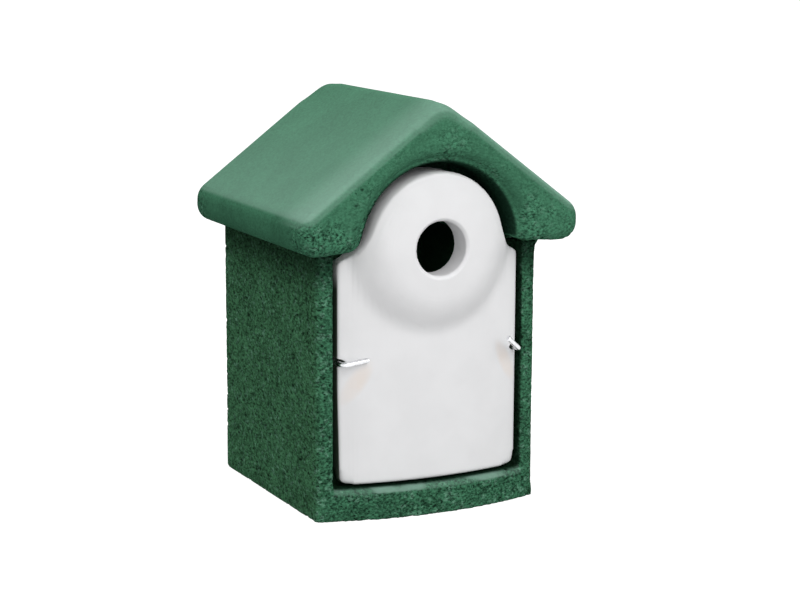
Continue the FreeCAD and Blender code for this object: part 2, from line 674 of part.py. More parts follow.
def make_strap():
    """Hanger strap on the back: flat where it is screwed on, joggled out to a tab with a keyhole."""
    body = new_body("hanger_strap")
    side = sketch_on(body, "strap_side_view", "YZ_Plane")
    tab_inner = f"({BACK} + Sizes.strap_standoff)"
    tab_foot = "(Sizes.strap_top - Sizes.strap_tab)"
    bend_foot = f"({tab_foot} - {JOGGLE_RISE})"
    half_turn = "(Sizes.strap_thickness * tan((90 - Sizes.strap_joggle) / 2))"
    outline(
        side,
        [
            (BACK, STRAP_FOOT),
            (STRAP_OUTER, STRAP_FOOT),
            (STRAP_OUTER, f"{bend_foot} - {half_turn}"),
            (f"{tab_inner} + Sizes.strap_thickness", f"{tab_foot} - {half_turn}"),
            (f"{tab_inner} + Sizes.strap_thickness", "Sizes.strap_top"),
            (tab_inner, "Sizes.strap_top"),
            (tab_inner, tab_foot),
            (BACK, bend_foot),
        ],
    )
    strip = feature(body, "Pad", "strap_strip", side, "Sizes.strap_width", Midplane=True)
    foot = number(STRAP_FOOT)
    top = number("Sizes.strap_top")
    fillet(
        body, "strap_corners", strip,
        lambda edge: runs_along(edge, "y") and (lies_at(edge, z=foot) or lies_at(edge, z=top)),
        "Sizes.strap_corner",
    )
    holes = sketch_on(body, "strap_screw_holes", "XZ_Plane", along=f"-{BACK}")
    for height in (LOW_SCREW_Z, HIGH_SCREW_Z):
        circle(holes, "0", height, "Sizes.screw_diameter / 2 + Sizes.screw_hole_gap")
    feature(body, "Pocket", "strap_screw_cuts", holes, "Sizes.strap_thickness")
    key = sketch_on(body, "strap_keyhole", "XZ_Plane", along=f"-{BACK}")
    head = "(Sizes.keyhole_diameter / 2)"
    slot = "(Sizes.keyhole_slot / 2)"
    neck_z = f"({KEYHOLE_Z} + sqrt({head}^2 - {slot}^2))"
    slot_z = f"({KEYHOLE_Z} + Sizes.keyhole_rise)"
    outline(
        key,
        [
            (slot, neck_z),
            (slot, slot_z),
            ("0", f"{slot_z} + {slot}"),
            (f"-{slot}", slot_z),
            (f"-{slot}", neck_z),
            (f"-{head}", KEYHOLE_Z),
            ("0", f"{KEYHOLE_Z} - {head}"),
            (head, KEYHOLE_Z),
        ],
        arcs={
            1: (slot, True),
            2: (slot, True),
            4: (head, True),
            5: (head, True),
            6: (head, True),
            7: (head, True),
        },
    )
    feature(body, "Pocket", "strap_keyhole_cut", key, Type="ThroughAll")
    return body


def make_hanger_screws():
    """Two pan-head screws through the strap into their plugs."""
    body = new_body("hanger_screws")
    profile = sketch_on(body, "screw_profile", "YZ_Plane", raised=LOW_SCREW_Z)
    shank = "(Sizes.screw_diameter / 2)"
    head = "(Sizes.screw_head / 2)"
    top = f"({STRAP_OUTER} + Sizes.screw_head_height)"
    tip = f"({STRAP_OUTER} - Sizes.screw_length)"
    outline(
        profile,
        [
            (tip, "0"),
            (top, "0"),
            (top, f"{head} - Sizes.screw_head_bevel"),
            (f"{top} - Sizes.screw_head_bevel", head),
            (STRAP_OUTER, head),
            (STRAP_OUTER, shank),
            (f"{tip} + {shank}", shank),
        ],
    )
    screw = feature(body, "Revolution", "screw", profile, ReferenceAxis=(profile, ["H_Axis"]), Angle=360.0)
    pair = body.newObject("PartDesign::LinearPattern", "screw_pair")
    pair.Originals = [screw]
    pair.Direction = (profile, ["V_Axis"])
    pair.setExpression("Length", "Sizes.screw_spacing")
    pair.Occurrences = 2
    body.Tip = pair
    return body


def make_hanger_plugs():
    """Nylon plugs in the back wall, open at both ends for the screws."""
    body = new_body("hanger_plugs")
    ring = sketch_on(body, "hanger_plug_section", "XZ_Plane", along=f"-{BACK}")
    for height in (LOW_SCREW_Z, HIGH_SCREW_Z):
        circle(ring, "0", height, "Sizes.wall_plug_diameter / 2")
        circle(ring, "0", height, "Sizes.screw_diameter / 2")
    feature(body, "Pad", "hanger_plug_tubes", ring, "Sizes.wall_plug_length")
    return body


def check(parts):
    """Stop unless the whole document rebuilt and every sub-part is a sound solid."""
    failed = [item.Name for item in doc.Objects if {"Invalid", "Error"} & set(item.State)]
    if failed:
        raise RuntimeError("failed to rebuild: " + ", ".join(failed))
    for part in parts:
        if part.Shape.isNull() or not part.Shape.isValid() or not part.Shape.Solids:
            raise RuntimeError(part.Label + " is not a sound solid")


parts = [
    make_box(),
    make_bed(),
    make_roof(),
    make_panel(),
    make_hook("left_turn_hook", "-", "Sizes.hook_tilt_left", "Sizes.hook_lean_left"),
    make_hook("right_turn_hook", "", "180 - Sizes.hook_tilt_right", "(-Sizes.hook_lean_right)"),
    make_hook_plugs(),
    make_strap(),
    make_hanger_screws(),
    make_hanger_plugs(),
]
doc.recompute()
check(parts)
os.makedirs("parts", exist_ok=True)
for part in parts:
    part.Shape.exportStep("parts/%s.step" % part.Label)
    print("%-18s %d solid(s) %9.1f mm3" % (part.Label, len(part.Shape.Solids), part.Shape.Volume))
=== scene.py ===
"""Looks of the woodcrete nest box: pitted green castings, a smooth white front panel, zinc-plated hardware.
Metres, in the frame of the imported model: +Z up, front towards -Y, origin on the base plane."""

import math

import bmesh
import bpy
from mathutils import Matrix, Vector


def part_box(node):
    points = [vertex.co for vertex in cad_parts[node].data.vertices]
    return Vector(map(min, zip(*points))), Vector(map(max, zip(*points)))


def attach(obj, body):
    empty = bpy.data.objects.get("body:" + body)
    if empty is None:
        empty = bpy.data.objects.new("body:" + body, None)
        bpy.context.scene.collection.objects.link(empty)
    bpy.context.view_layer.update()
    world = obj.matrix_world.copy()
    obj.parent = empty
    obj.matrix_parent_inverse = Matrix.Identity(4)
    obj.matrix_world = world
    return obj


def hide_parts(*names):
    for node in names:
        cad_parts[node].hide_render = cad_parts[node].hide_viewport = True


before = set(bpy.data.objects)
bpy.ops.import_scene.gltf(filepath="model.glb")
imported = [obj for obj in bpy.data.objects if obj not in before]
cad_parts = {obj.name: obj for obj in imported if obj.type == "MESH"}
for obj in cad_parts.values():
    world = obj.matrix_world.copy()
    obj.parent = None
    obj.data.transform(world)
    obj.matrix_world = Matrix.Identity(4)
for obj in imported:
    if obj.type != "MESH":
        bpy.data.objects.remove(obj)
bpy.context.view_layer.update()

MM = 0.001

# Camera, from the straight edges of the box in the photograph.
EYE = Vector((-544.0, -1135.5, 350.4)) * MM
AIM = Vector((47.0, 70.0, 99.9)) * MM
ROLL = math.radians(0.254)
LENS_MM = 94.1
SENSOR_MM = 36.0
CLIP_START = 0.01

# Light that comes evenly from all round, beside the lamps, and how white the floor is to the camera.
AMBIENT = 0.5
FLOOR_GLOW = 0.93
FLOOR_HALF = 30.0
FLOOR_ROUGHNESS = 0.9

# Soft boxes: name, place, size in metres and power in watts, all aimed at the middle of the box.
LAMPS = (
    ("overhead", (-0.15, 0.1, 1.45), 1.0, 9.8),
    ("front_key", (0.25, -1.35, 0.95), 1.2, 11.7),
    ("left_fill", (-0.9, -1.3, 0.35), 0.8, 3.0),
)
LAMP_AIM = (0.0, 0.0, 0.12)

# Colours, linear.
WALL_GREEN = (0.053, 0.158, 0.078)
# Painted light: the box's front gets a darker, bluer green than its sides, standing in for the difference in
# light between front and sides.
FRONT_LIGHT_GREEN = (0.039, 0.131, 0.072)
ROOF_GREEN = (0.0515, 0.17, 0.098)
# Mortar is a darker green than the walls, partly as painted shade under the eaves.
MORTAR_GREEN = (0.045, 0.135, 0.072)
GRAIN_GREEN = (0.11, 0.24, 0.165)
# Pale green mixed in as a painted sheen: the reflection on the roof's slopes and gable edges and the
# highlight on the sill's top.
PAINTED_SHEEN_PALE = (0.3, 0.47, 0.39)
PANEL_WHITE = (0.875, 0.875, 0.885)
# Dark green of the panel's sides, dull green darkened further as painted shade of the gap round the panel.
SIDE_SHADE_GREEN = (0.07, 0.1, 0.07)
STAIN_PEACH = (0.875, 0.775, 0.7)
ZINC = (0.78, 0.79, 0.81)
GALVANISED = (0.4, 0.41, 0.42)
SCREW_ZINC = (0.46, 0.46, 0.48)
NYLON_GREY = (0.33, 0.33, 0.32)
FLOOR_PALE = (0.35, 0.35, 0.35)

# Sizes of the solids that the finish and the added forms follow.
ROOF_PITCH = math.radians(36.8)
EAVE_FACE = 19.5 * MM
ARCH_RADIUS = 52.2 * MM
ARCH_FOOT = 55 * MM
RIM_WIDTH = 10.5 * MM
FRONT_BOW = 12.5 * MM
BOW_RADIUS = 214 * MM
ENTRANCE_HEIGHT = 159 * MM
NOTCH_HEIGHT = 93.4 * MM
PANEL_BULGE = 8 * MM

# Pairs are spans: an effect starts at the first number and is full at the second. The other pairs are the
# lowest and highest value of something.

# How even the meshes are: size of a face, rounds of edge smoothing, share of faces kept.
WALL_MESH, WALL_SHARE = 1.0 * MM, 0.48
ROOF_MESH, ROOF_SHARE = 0.9 * MM, 0.6
MORTAR_MESH, MORTAR_SHARE = 0.5 * MM, 0.3
PANEL_MESH = 0.8 * MM
WELD = 0.001 * MM
EDGE_SMOOTHING = 0.5
CASTING_ROUNDS = 1
PANEL_ROUNDS = 3

# Roof: its arch's front edge rolls in, the arch's feet and the ridge's ends are rounder than in the solid.
LIP_ROLL = 11 * MM
LIP_FILL = 3 * MM
LIP_DEPTH = 14 * MM
FACING_AGAINST = (-0.3, -0.7)
ARCH_WALL_OUTER = (4 * MM, 2 * MM)
ARCH_WALL_INNER = (-4 * MM, -2 * MM)
ARCH_WALL_DEPTH = (34 * MM, 28 * MM)
ARCH_WALL_RISE = (0.0, 8 * MM)
ARCH_BLUR = 10
FOOT_AROUND = (17 * MM, 8 * MM)
FOOT_DEPTH = (40 * MM, 28 * MM)
RIDGE_AROUND = (24 * MM, 2 * MM)
ROOF_SOFTENING = 90

# Box: its upright front corners are rounder, apart from their ends.
CORNER_AROUND = (11 * MM, 5 * MM)
CORNER_FOOT = (3 * MM, 14 * MM)
CORNER_TOP = (-2 * MM, -14 * MM)
CORNER_SOFTENING = 30

# Mortar bead under the right eave: how much it grows, and how far its end stays behind the corner.
BEAD_GROWTH = 1.1
BEAD_SETBACK = 2 * MM
BEAD_OUTSIDE = (-0.6 * MM, -0.1 * MM)
BEAD_END = (20 * MM, 3 * MM)
BEAD_BLUR = 1

# Panel's dome: a nearly flat face that rolls over to a slope and runs out into the panel.
DOME_PROUD = 11.2 * MM
DOME_RIM = 16 * MM
DOME_CROWN = 300 * MM
DOME_FACE = 28.5 * MM
DOME_FACE_TOP = 41 * MM
DOME_WIDENS = (-12 * MM, 26 * MM)
DOME_ROLL = 24 * MM
DOME_SLOPE = math.radians(60)
DOME_ROOT = 16 * MM
DOME_BOW_SHARE = 0.6
ENTRANCE_LIP = 18.6 * MM
LIP_ARC = 2.6 * MM
DOME_FACING = (-0.15, -0.5)
DOME_FROM = (15.8 * MM, 17 * MM)
DOME_UNTIL = (68 * MM, 56 * MM)
DOME_ACROSS = (55 * MM, 50 * MM)

# Panel's outline: arch, shoulders, hook notches, lower edge, left edge and lower corners.
ARCH_TRIM = 1.5 * MM
ARCH_FACING = (0.3, 0.8)
ARCH_RISE = (0.0, 15 * MM)
ARCH_FROM = (38 * MM, 42 * MM)
SHOULDER_DROP = 3 * MM
SHOULDER_ACROSS = (42 * MM, 50 * MM)
SHOULDER_HEIGHT = (118 * MM, 140 * MM)
NOTCH_SQUEEZE = 0.4
NOTCH_AROUND = (9 * MM, 4 * MM)
NOTCH_ACROSS = (47 * MM, 52 * MM)
PANEL_LIFT = 1.2 * MM
LIFT_HEIGHT = (18 * MM, 2 * MM)
PANEL_TAPER = 1.2 * MM
TAPER_TOP = 85 * MM
PANEL_INSET = 1.5 * MM
INSET_ACROSS = (-44 * MM, -56 * MM)
PANEL_CORNER = (10 * MM, 5 * MM)
PANEL_BLUR = 9

# Panel's sides, dull green and darkened further below its shoulders as painted shade of the gap round the
# panel: facing from the front and from the back.
SIDE_FROM_FRONT = (-0.55, -0.25)
SIDE_FROM_BACK = (0.9, 0.6)
SIDE_HEIGHT = (150 * MM, 138 * MM)
SIDE_FROM_ENTRANCE = (30 * MM, 36 * MM)

# Screws of the hanger strap: their seat is the outer face of the strap.
SCREW = {
    "Seat": 79.5 * MM,
    "Low Height": 89.5 * MM,
    "Spacing": 18 * MM,
    "Head Radius": 4.2 * MM,
    "Head Height": 2.6 * MM,
    "Shank Radius": 2 * MM,
    "Length": 15 * MM,
    "Thread Pitch": 1.8 * MM,
    "Thread Depth": 0.45 * MM,
    "Recess Length": 4.8 * MM,
    "Recess Width": 1.1 * MM,
    "Recess Depth": 1.5 * MM,
}
SCREW_COUNT = 2
PAN_SHAPE = 0.7
NEAR_AXIS = 0.0001
HEAD_SIDES, HEAD_RINGS = 48, 24
SHANK_SIDES, SHANK_RINGS = 24, 90
PLAIN_NECK = (2.5 * MM, 3.5 * MM)
POINT_LENGTH = 4 * MM
POINT_WIDTH = 0.2
SHARP_EDGE = math.radians(35)
FIRST_TURN, NEXT_TURN = 0.35, 0.9

# Woodcrete's surface: pits, grain and swell in the mesh, patches where it is coarser.
PIT_SPACING = 2.7 * MM
PIT_STRETCH = (0.72, 0.55, 1.0)
PIT_DEPTH = 0.9 * MM
PIT_RAGGEDNESS = 0.75
PIT_RAG_SCALE = 1.5
PIT_CHANCE = (0.975, 1.05)
PIT_COARSE_CHANCE = 0.5
PIT_WIDTHS = (0.28, 0.6)
PIT_FLOOR = 0.3
PIT_DEPTHS = (0.45, 1.0)
GRAIN_SPACING = 1.8 * MM
GRAIN_DEPTH = 0.35 * MM
GRAIN_ROUGHNESS = 0.6
GRAIN_SPAN = (0.25, 0.75)
SWELL_SPACING = 38 * MM
SWELL_DEPTH = 0.15 * MM
PATCH_SPACING = 22 * MM
PATCH_SPAN = (0.4, 0.62)
PATCH_COARSENESS = (0.3, 1.0)
MORTAR_PIT_DEPTH = 0.4 * MM
MORTAR_GRAIN_DEPTH = 0.25 * MM

# Roof's marks: coarse gables, eave tips and undersides, a painted sheen on the slopes and gable edges,
# painted shade inside the arch.
SLOPE_COARSENESS = 0.03
GABLE_FACING = (0.85, 0.98)
GABLE_BELOW = (8 * MM, 30 * MM)
GABLE_COARSENESS = (0.08, 0.28)
TIP_FROM_END = (-30 * MM, -6 * MM)
TIP_HEIGHT = (30 * MM, 10 * MM)
TIP_COARSENESS = 0.36
UNDERSIDE_COARSENESS = 0.2
# Painted sheen on the roof: it grows down and forward on the slopes, with a band along the rounded gable
# edges.
SHEEN_FULL = 20 * MM
SHEEN_DOWN = (0.0, 0.31)
SHEEN_FORWARD = (0.14, 0.26)
SHEEN_SLOPE_FACING = (0.45, 0.65)
SHEEN_EDGE = (42 * MM, 8 * MM)
SHEEN_EDGE_SHARE = 0.33
SHEEN_EDGE_FACING = (0.12, 0.35)
# Painted shade inside the arch, where the gap round the dome lies in shadow.
ARCH_DARK_AROUND = (0.5 * MM, -2.5 * MM)
ARCH_DARK_FROM = (1 * MM, 4 * MM)
ARCH_DARK_UNTIL = (46 * MM, 34 * MM)

# Box's marks: coarse outside, a worn sill with a painted highlight on its top, painted shade behind the panel
# and under the eaves.
SIDE_COARSE = (-14 * MM, -10 * MM)
BACK_COARSE = (-8 * MM, -5 * MM)
SILL_COARSE = (22 * MM, 19 * MM)
# The sill's rounded top: worn smoother, and given a painted highlight.
WORN_FACING = (0.2, 0.55)
WORN_FROM = (8 * MM, 13 * MM)
WORN_UNTIL = (24 * MM, 21 * MM)
WORN_SMOOTHNESS = 0.7
SILL_SHEEN_DEPTH = (6 * MM, 3 * MM)
OPENING_ACROSS = (1 * MM, 0.1 * MM)
OPENING_HEIGHT = (17 * MM, 19 * MM)
# Painted shade on the shelf behind the panel's foot, under the eaves, and on the jambs and ledges that the
# panel covers.
SHELF_DARK = (4 * MM, 7 * MM)
EAVES_DARK = (-34 * MM, -4 * MM)
EAVES_PAINTED_SHADE = 0.7
COVERED_FROM = (1.5 * MM, 4 * MM)
COVERED_UNTIL = (34 * MM, 24 * MM)
COVERED_PAINTED_SHADE = 0.85

# Woodcrete's finish. Noise mostly stays within NOISE_SPAN.
NOISE_SPAN = (0.3, 0.7)
FRONT_DEPTH = (18 * MM, 10 * MM)
ROUGH_SPAN = (0.0, 0.3)
CLOUD_SPACING = 26 * MM
WOODCRETE_CLOUDS = (0.92, 1.08)
FLECK_SPACING = 1.25 * MM
FLECK_ROUGHNESS = 0.65
FLECK_SWING = (-0.75, 0.75)
LUMP_SPACING = 4.5 * MM
LUMP_SWING = (-0.15, 0.15)
SMOOTH_CONTRAST = 0.25
FRONT_CONTRAST = 1.3
DARKEST_FLECK = 0.2
FINE_PIT_SPACING = 1.1 * MM
FINE_PIT_BUMP = 1.2
PIT_SPAN = (0.05, 0.7)
# Painted shade in the pits: how dark a deep pit is painted.
PIT_SHADE = 0.33
# How dark the marked painted shade gets.
PAINTED_SHADE_DARKEST = 0.18
SPECK_SPACING = 2.2 * MM
SPECK_CHANCE = (0.8, 0.95)
SPECK_SHARE = 0.6
# How much of the painted sheen shows, less where the casting is rough.
SHEEN_SHARE = 0.6
ROUGH_SHEEN = 0.3
WOODCRETE_GLOSS = (0.55, 0.85)
SMOOTH_RELIEF = 0.08
WOODCRETE_BUMP = 0.4 * MM

# Panel's paint, and the rusty stains below the hooks: centre in X and Z, half width, half height and lean.
PAINT_CLOUDS = (0.975, 1.015)
PAINT_ROUGHNESS = 0.5
PAINT_SPECULAR = 0.3
PAINT_GRAIN = 2.2 * MM
PAINT_GRAIN_ROUGHNESS = 0.6
PAINT_BUMP = 0.12 * MM
PAINT_BUMP_STRENGTH = 0.15
STAINS = (
    (-47.5 * MM, 81 * MM, 8 * MM, 15 * MM, 0.6),
    (51 * MM, 86 * MM, 6 * MM, 15 * MM, -0.45),
)
STAIN_STRENGTH = 0.6
BLOT_SPACING = 12 * MM
BLOT_SPAN = (0.35, 0.65)
BLOT_SHARE = (0.65, 1.0)

# Hardware: wire, screws, strap and plugs.
METAL_CLOUDS = (0.85, 1.08)
METAL_DULLING = 0.12
WIRE_ROUGHNESS, WIRE_CLOUDING = 0.22, 4 * MM
SCREW_ROUGHNESS, SCREW_CLOUDING = 0.3, 3 * MM
SPANGLE_SPACING = 4.5 * MM
SPANGLE_TONES = (0.8, 1.12)
SPANGLE_GLOSS = (0.3, 0.5)
STRAP_CLOUDING = 12 * MM
STRAP_CLOUDS = (0.88, 1.08)
NYLON_CLOUDING = 3 * MM
NYLON_CLOUDS = (0.9, 1.08)
NYLON_ROUGHNESS = 0.55


def span(edge, reach):
    """A span that is measured from an edge."""
    return edge + reach[0], edge + reach[1]


def add(tree, kind, inputs=None, **settings):
    """Add a node to a tree. An input is linked where it is a socket, and set where it is a value."""
    made = tree.nodes.new(kind)
    for key, value in settings.items():
        setattr(made, key, value)
    for key, value in (inputs or {}).items():
        if isinstance(value, bpy.types.NodeSocket):
            tree.links.new(value, made.inputs[key])
        else:
            made.inputs[key].default_value = value
    return made


def calc(tree, operation, first, second=0.0):
    """Arithmetic on one or two numbers or sockets."""
    return add(tree, "ShaderNodeMath", {0: first, 1: second}, operation=operation).outputs[0]


def ramp(tree, value, low, high, to_low=0.0, to_high=1.0, smooth=True):
    """Carry a value from one range to another, held at the ends."""
    shape = "SMOOTHSTEP" if smooth else "LINEAR"
    inputs = {"Value": value, "From Min": low, "From Max": high, "To Min": to_low, "To Max": to_high}
    return add(tree, "ShaderNodeMapRange", inputs, interpolation_type=shape).outputs[0]


def noise(tree, place, spacing, detail=2.0, rough=0.5):
    """Soft noise whose lumps are about that far apart."""
    inputs = {"Vector": place, "Scale": 1.0 / spacing, "Detail": detail, "Roughness": rough}
    return add(tree, "ShaderNodeTexNoise", inputs).outputs[0]


def cell_colour(tree, place, spacing):
    """A random colour for each of the cells that are about that far apart."""
    return add(tree, "ShaderNodeTexVoronoi", {"Vector": place, "Scale": 1.0 / spacing}).outputs["Color"]


def parts_of(tree, vector):
    """The three numbers of a vector or colour."""
    return add(tree, "ShaderNodeSeparateXYZ", {"Vector": vector}).outputs


def vector_of(tree, **numbers):
    """A vector from its X, Y and Z, each 0 where it isn't given."""
    return add(tree, "ShaderNodeCombineXYZ", numbers).outputs[0]


def vectors(tree, operation, first, second):
    """Arithmetic on two vectors."""
    return add(tree, "ShaderNodeVectorMath", {0: first, 1: second}, operation=operation).outputs[0]


def scaled(tree, vector, factor):
    """A vector or colour times a number."""
    return add(tree, "ShaderNodeVectorMath", {0: vector, "Scale": factor}, operation="SCALE").outputs[0]


def dot(tree, first, second):
    """How far two directions agree."""
    inputs = {0: first, 1: second}
    return add(tree, "ShaderNodeVectorMath", inputs, operation="DOT_PRODUCT").outputs["Value"]


def largest(tree, *values):
    """The largest of several numbers or sockets."""
    found = values[0]
    for value in values[1:]:
        found = calc(tree, "MAXIMUM", found, value)
    return found


def product(tree, *values):
    """Several numbers or sockets multiplied."""
    found = values[0]
    for value in values[1:]:
        found = calc(tree, "MULTIPLY", found, value)
    return found


def squares(tree, across, up):
    """The sum of two squares."""
    return calc(tree, "ADD", calc(tree, "POWER", across, 2.0), calc(tree, "POWER", up, 2.0))


def distance(tree, across, up):
    """The length of the line that goes so far across and so far up."""
    return calc(tree, "SQRT", squares(tree, across, up))


def held(tree, value, most):
    """A number held between 0 and the most it may be."""
    return calc(tree, "MINIMUM", calc(tree, "MAXIMUM", value, 0.0), most)


def outward(tree, place, height):
    """Distance from the level axis at a height, and the direction away from it."""
    x, _, z = parts_of(tree, place)
    up = calc(tree, "SUBTRACT", z, height)
    direction = add(tree, "ShaderNodeVectorMath", {0: vector_of(tree, X=x, Z=up)}, operation="NORMALIZE")
    return distance(tree, x, up), direction.outputs[0]


def arc_depth(tree, radius, reach):
    """How far an arc has turned back at a reach along it."""
    squared = calc(tree, "SUBTRACT", radius * radius, calc(tree, "POWER", reach, 2.0))
    return calc(tree, "SUBTRACT", radius, calc(tree, "SQRT", calc(tree, "MAXIMUM", squared, 0.0)))


def softened(tree, geometry, place, weight, rounds):
    """Even out a surface where the weight says."""
    inputs = {"Value": place, "Iterations": rounds, "Weight": weight}
    evened = add(tree, "GeometryNodeBlurAttribute", inputs, data_type="FLOAT_VECTOR").outputs[0]
    return add(tree, "GeometryNodeSetPosition", {"Geometry": geometry, "Position": evened}).outputs[0]


def shifted(tree, geometry, offset, rounds):
    """Move a surface by an offset that is evened out over its neighbours first."""
    inputs = {"Value": offset, "Iterations": rounds}
    evened = add(tree, "GeometryNodeBlurAttribute", inputs, data_type="FLOAT_VECTOR").outputs[0]
    return add(tree, "GeometryNodeSetPosition", {"Geometry": geometry, "Offset": evened}).outputs[0]


def stored(tree, geometry, label, value):
    """Note a number on each point of a surface, for its finish."""
    inputs = {"Geometry": geometry, "Name": label, "Value": value}
    return add(tree, "GeometryNodeStoreNamedAttribute", inputs, data_type="FLOAT", domain="POINT").outputs[0]


def new_tree(name, labels):
    """Geometry nodes with named numbers and a material as inputs: the tree, its sockets and their outputs."""
    tree = bpy.data.node_groups.new(name, "GeometryNodeTree")
    tree.interface.new_socket("Geometry", in_out="INPUT", socket_type="NodeSocketGeometry")
    sockets = {}
    for label in labels:
        made = tree.interface.new_socket(label, in_out="INPUT", socket_type="NodeSocketFloat")
        sockets[label] = made.identifier
    made = tree.interface.new_socket("Material", in_out="INPUT", socket_type="NodeSocketMaterial")
    sockets["Material"] = made.identifier
    tree.interface.new_socket("Geometry", in_out="OUTPUT", socket_type="NodeSocketGeometry")
    return tree, sockets, add(tree, "NodeGroupInput").outputs


def end_tree(tree, geometry, material):
    """Make what a tree gives real, with its material."""
    real = add(tree, "GeometryNodeRealizeInstances", {"Geometry": geometry}).outputs[0]
    faced = add(tree, "GeometryNodeSetMaterial", {"Geometry": real, "Material": material}).outputs[0]
    tree.links.new(faced, add(tree, "NodeGroupOutput").inputs[0])


def use_tree(piece, tree, sockets, values):
    """Put a tree on a piece with the values of its inputs."""
    modifier = piece.modifiers.new(tree.name, "NODES")
    modifier.node_group = tree
    for label, value in values.items():
        modifier[sockets[label]] = value


def roof_marks(tree, place, normal):
    """The roof's slopes are smooth with a painted sheen, its gables and eave tips are pitted, its arch has
    painted shade.
    """
    x, y, z = parts_of(tree, place)
    facing = parts_of(tree, normal)
    low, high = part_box("roof")
    endwise = calc(tree, "ABSOLUTE", facing[1])
    ridge = low.z + EAVE_FACE + high.x * math.tan(ROOF_PITCH)
    fall = calc(tree, "MULTIPLY", calc(tree, "ABSOLUTE", x), math.tan(ROOF_PITCH))
    below = calc(tree, "SUBTRACT", ridge, calc(tree, "ADD", z, fall))
    gable = product(
        tree, ramp(tree, endwise, *GABLE_FACING), ramp(tree, below, *GABLE_BELOW, *GABLE_COARSENESS),
    )
    near_end = ramp(tree, calc(tree, "ABSOLUTE", y), *span(high.y, TIP_FROM_END))
    near_eave = ramp(tree, z, *span(low.z, TIP_HEIGHT))
    under = ramp(tree, facing[2], *FACING_AGAINST)
    tips = product(tree, near_end, near_eave, TIP_COARSENESS)
    coarse = largest(tree, gable, tips, product(tree, under, UNDERSIDE_COARSENESS), SLOPE_COARSENESS)
    # Painted sheen: down and forward on the slopes, and a band along the rounded gable edges.
    down = ramp(tree, z, high.z, low.z + SHEEN_FULL, *SHEEN_DOWN, smooth=False)
    forward = ramp(tree, y, high.y, low.y + SHEEN_FULL, *SHEEN_FORWARD, smooth=False)
    edge = ramp(tree, y, *span(low.y, SHEEN_EDGE), 0.0, SHEEN_EDGE_SHARE)
    slope = product(tree, calc(tree, "ADD", down, forward), ramp(tree, facing[2], *SHEEN_SLOPE_FACING))
    painted_sheen = calc(tree, "ADD", slope, product(tree, edge, ramp(tree, facing[2], *SHEEN_EDGE_FACING)))
    # Painted shade inside the arch, where the gap round the dome lies in shadow.
    reach = distance(tree, x, calc(tree, "SUBTRACT", z, low.z))
    painted_shade = product(
        tree, ramp(tree, reach, *span(ARCH_RADIUS, ARCH_DARK_AROUND)),
        ramp(tree, y, *span(low.y, ARCH_DARK_UNTIL)), ramp(tree, y, *span(low.y, ARCH_DARK_FROM)),
    )
    return coarse, painted_sheen, painted_shade


def wall_marks(tree, place, normal):
    """The box is pitted outside and on its rims, smooth where the core was, with painted shade behind the
    panel and under the eaves and a painted highlight on the sill's top.
    """
    x, y, z = parts_of(tree, place)
    low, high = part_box("box_body")
    across = calc(tree, "ABSOLUTE", x)
    side = ramp(tree, across, *span(high.x, SIDE_COARSE))
    back = ramp(tree, y, *span(high.y, BACK_COARSE))
    sill = ramp(tree, z, *span(low.z, SILL_COARSE))
    upward = ramp(tree, parts_of(tree, normal)[2], *WORN_FACING)
    worn = product(tree, upward, ramp(tree, z, *WORN_FROM), ramp(tree, z, *WORN_UNTIL))
    pitted = calc(tree, "SUBTRACT", 1.0, calc(tree, "MULTIPLY", worn, WORN_SMOOTHNESS))
    coarse = product(tree, largest(tree, side, back, sill), pitted)
    bow = calc(tree, "DIVIDE", calc(tree, "POWER", x, 2.0), 2 * BOW_RADIUS)
    behind = calc(tree, "SUBTRACT", calc(tree, "SUBTRACT", y, low.y), bow)
    jamb = high.x - RIM_WIDTH
    within = product(tree, ramp(tree, across, *span(jamb, OPENING_ACROSS)), ramp(tree, z, *OPENING_HEIGHT))
    # Painted shade on the shelf behind the panel's foot, under the eaves, and on the jambs and ledges that
    # the panel covers.
    shelf = product(tree, worn, ramp(tree, behind, *SHELF_DARK))
    eaves = ramp(tree, z, *span(high.z, EAVES_DARK), 0.0, EAVES_PAINTED_SHADE)
    edged = ramp(tree, behind, *COVERED_FROM, 0.0, COVERED_PAINTED_SHADE)
    covered = product(tree, within, edged, ramp(tree, behind, *COVERED_UNTIL))
    painted_shade = largest(tree, covered, shelf, eaves)
    # Painted highlight on the sill's rounded top.
    painted_sheen = product(tree, worn, ramp(tree, behind, *SILL_SHEEN_DEPTH))
    return coarse, painted_sheen, painted_shade


def mortar_marks(tree, place, normal):
    """Mortar is coarse all over."""
    return 1.0, 0.0, 0.0


def pitting(tree, place, scale, coarse):
    """Ragged pits, many where the casting is coarse: 0 outside a pit, up to 1 in a deep one."""
    place = vectors(tree, "MULTIPLY", place, PIT_STRETCH)
    rag_scale = calc(tree, "MULTIPLY", scale, PIT_RAG_SCALE)
    rag = add(tree, "ShaderNodeTexNoise", {"Vector": place, "Scale": rag_scale, "Detail": 1.0})
    shift = vectors(tree, "SUBTRACT", rag.outputs["Color"], (0.5, 0.5, 0.5))
    bent = vectors(tree, "ADD", place, scaled(tree, shift, calc(tree, "DIVIDE", PIT_RAGGEDNESS, scale)))
    voronoi = add(tree, "ShaderNodeTexVoronoi", {"Vector": bent, "Scale": scale}).outputs
    chance, size, deep = parts_of(tree, voronoi["Color"])
    likely = calc(tree, "ADD", chance, calc(tree, "MULTIPLY", coarse, PIT_COARSE_CHANCE))
    rim = ramp(tree, size, 0.0, 1.0, *PIT_WIDTHS, smooth=False)
    hollow = ramp(tree, voronoi["Distance"], rim, calc(tree, "MULTIPLY", rim, PIT_FLOOR))
    depth = ramp(tree, deep, 0.0, 1.0, *PIT_DEPTHS, smooth=False)
    return product(tree, hollow, ramp(tree, likely, *PIT_CHANCE), depth)


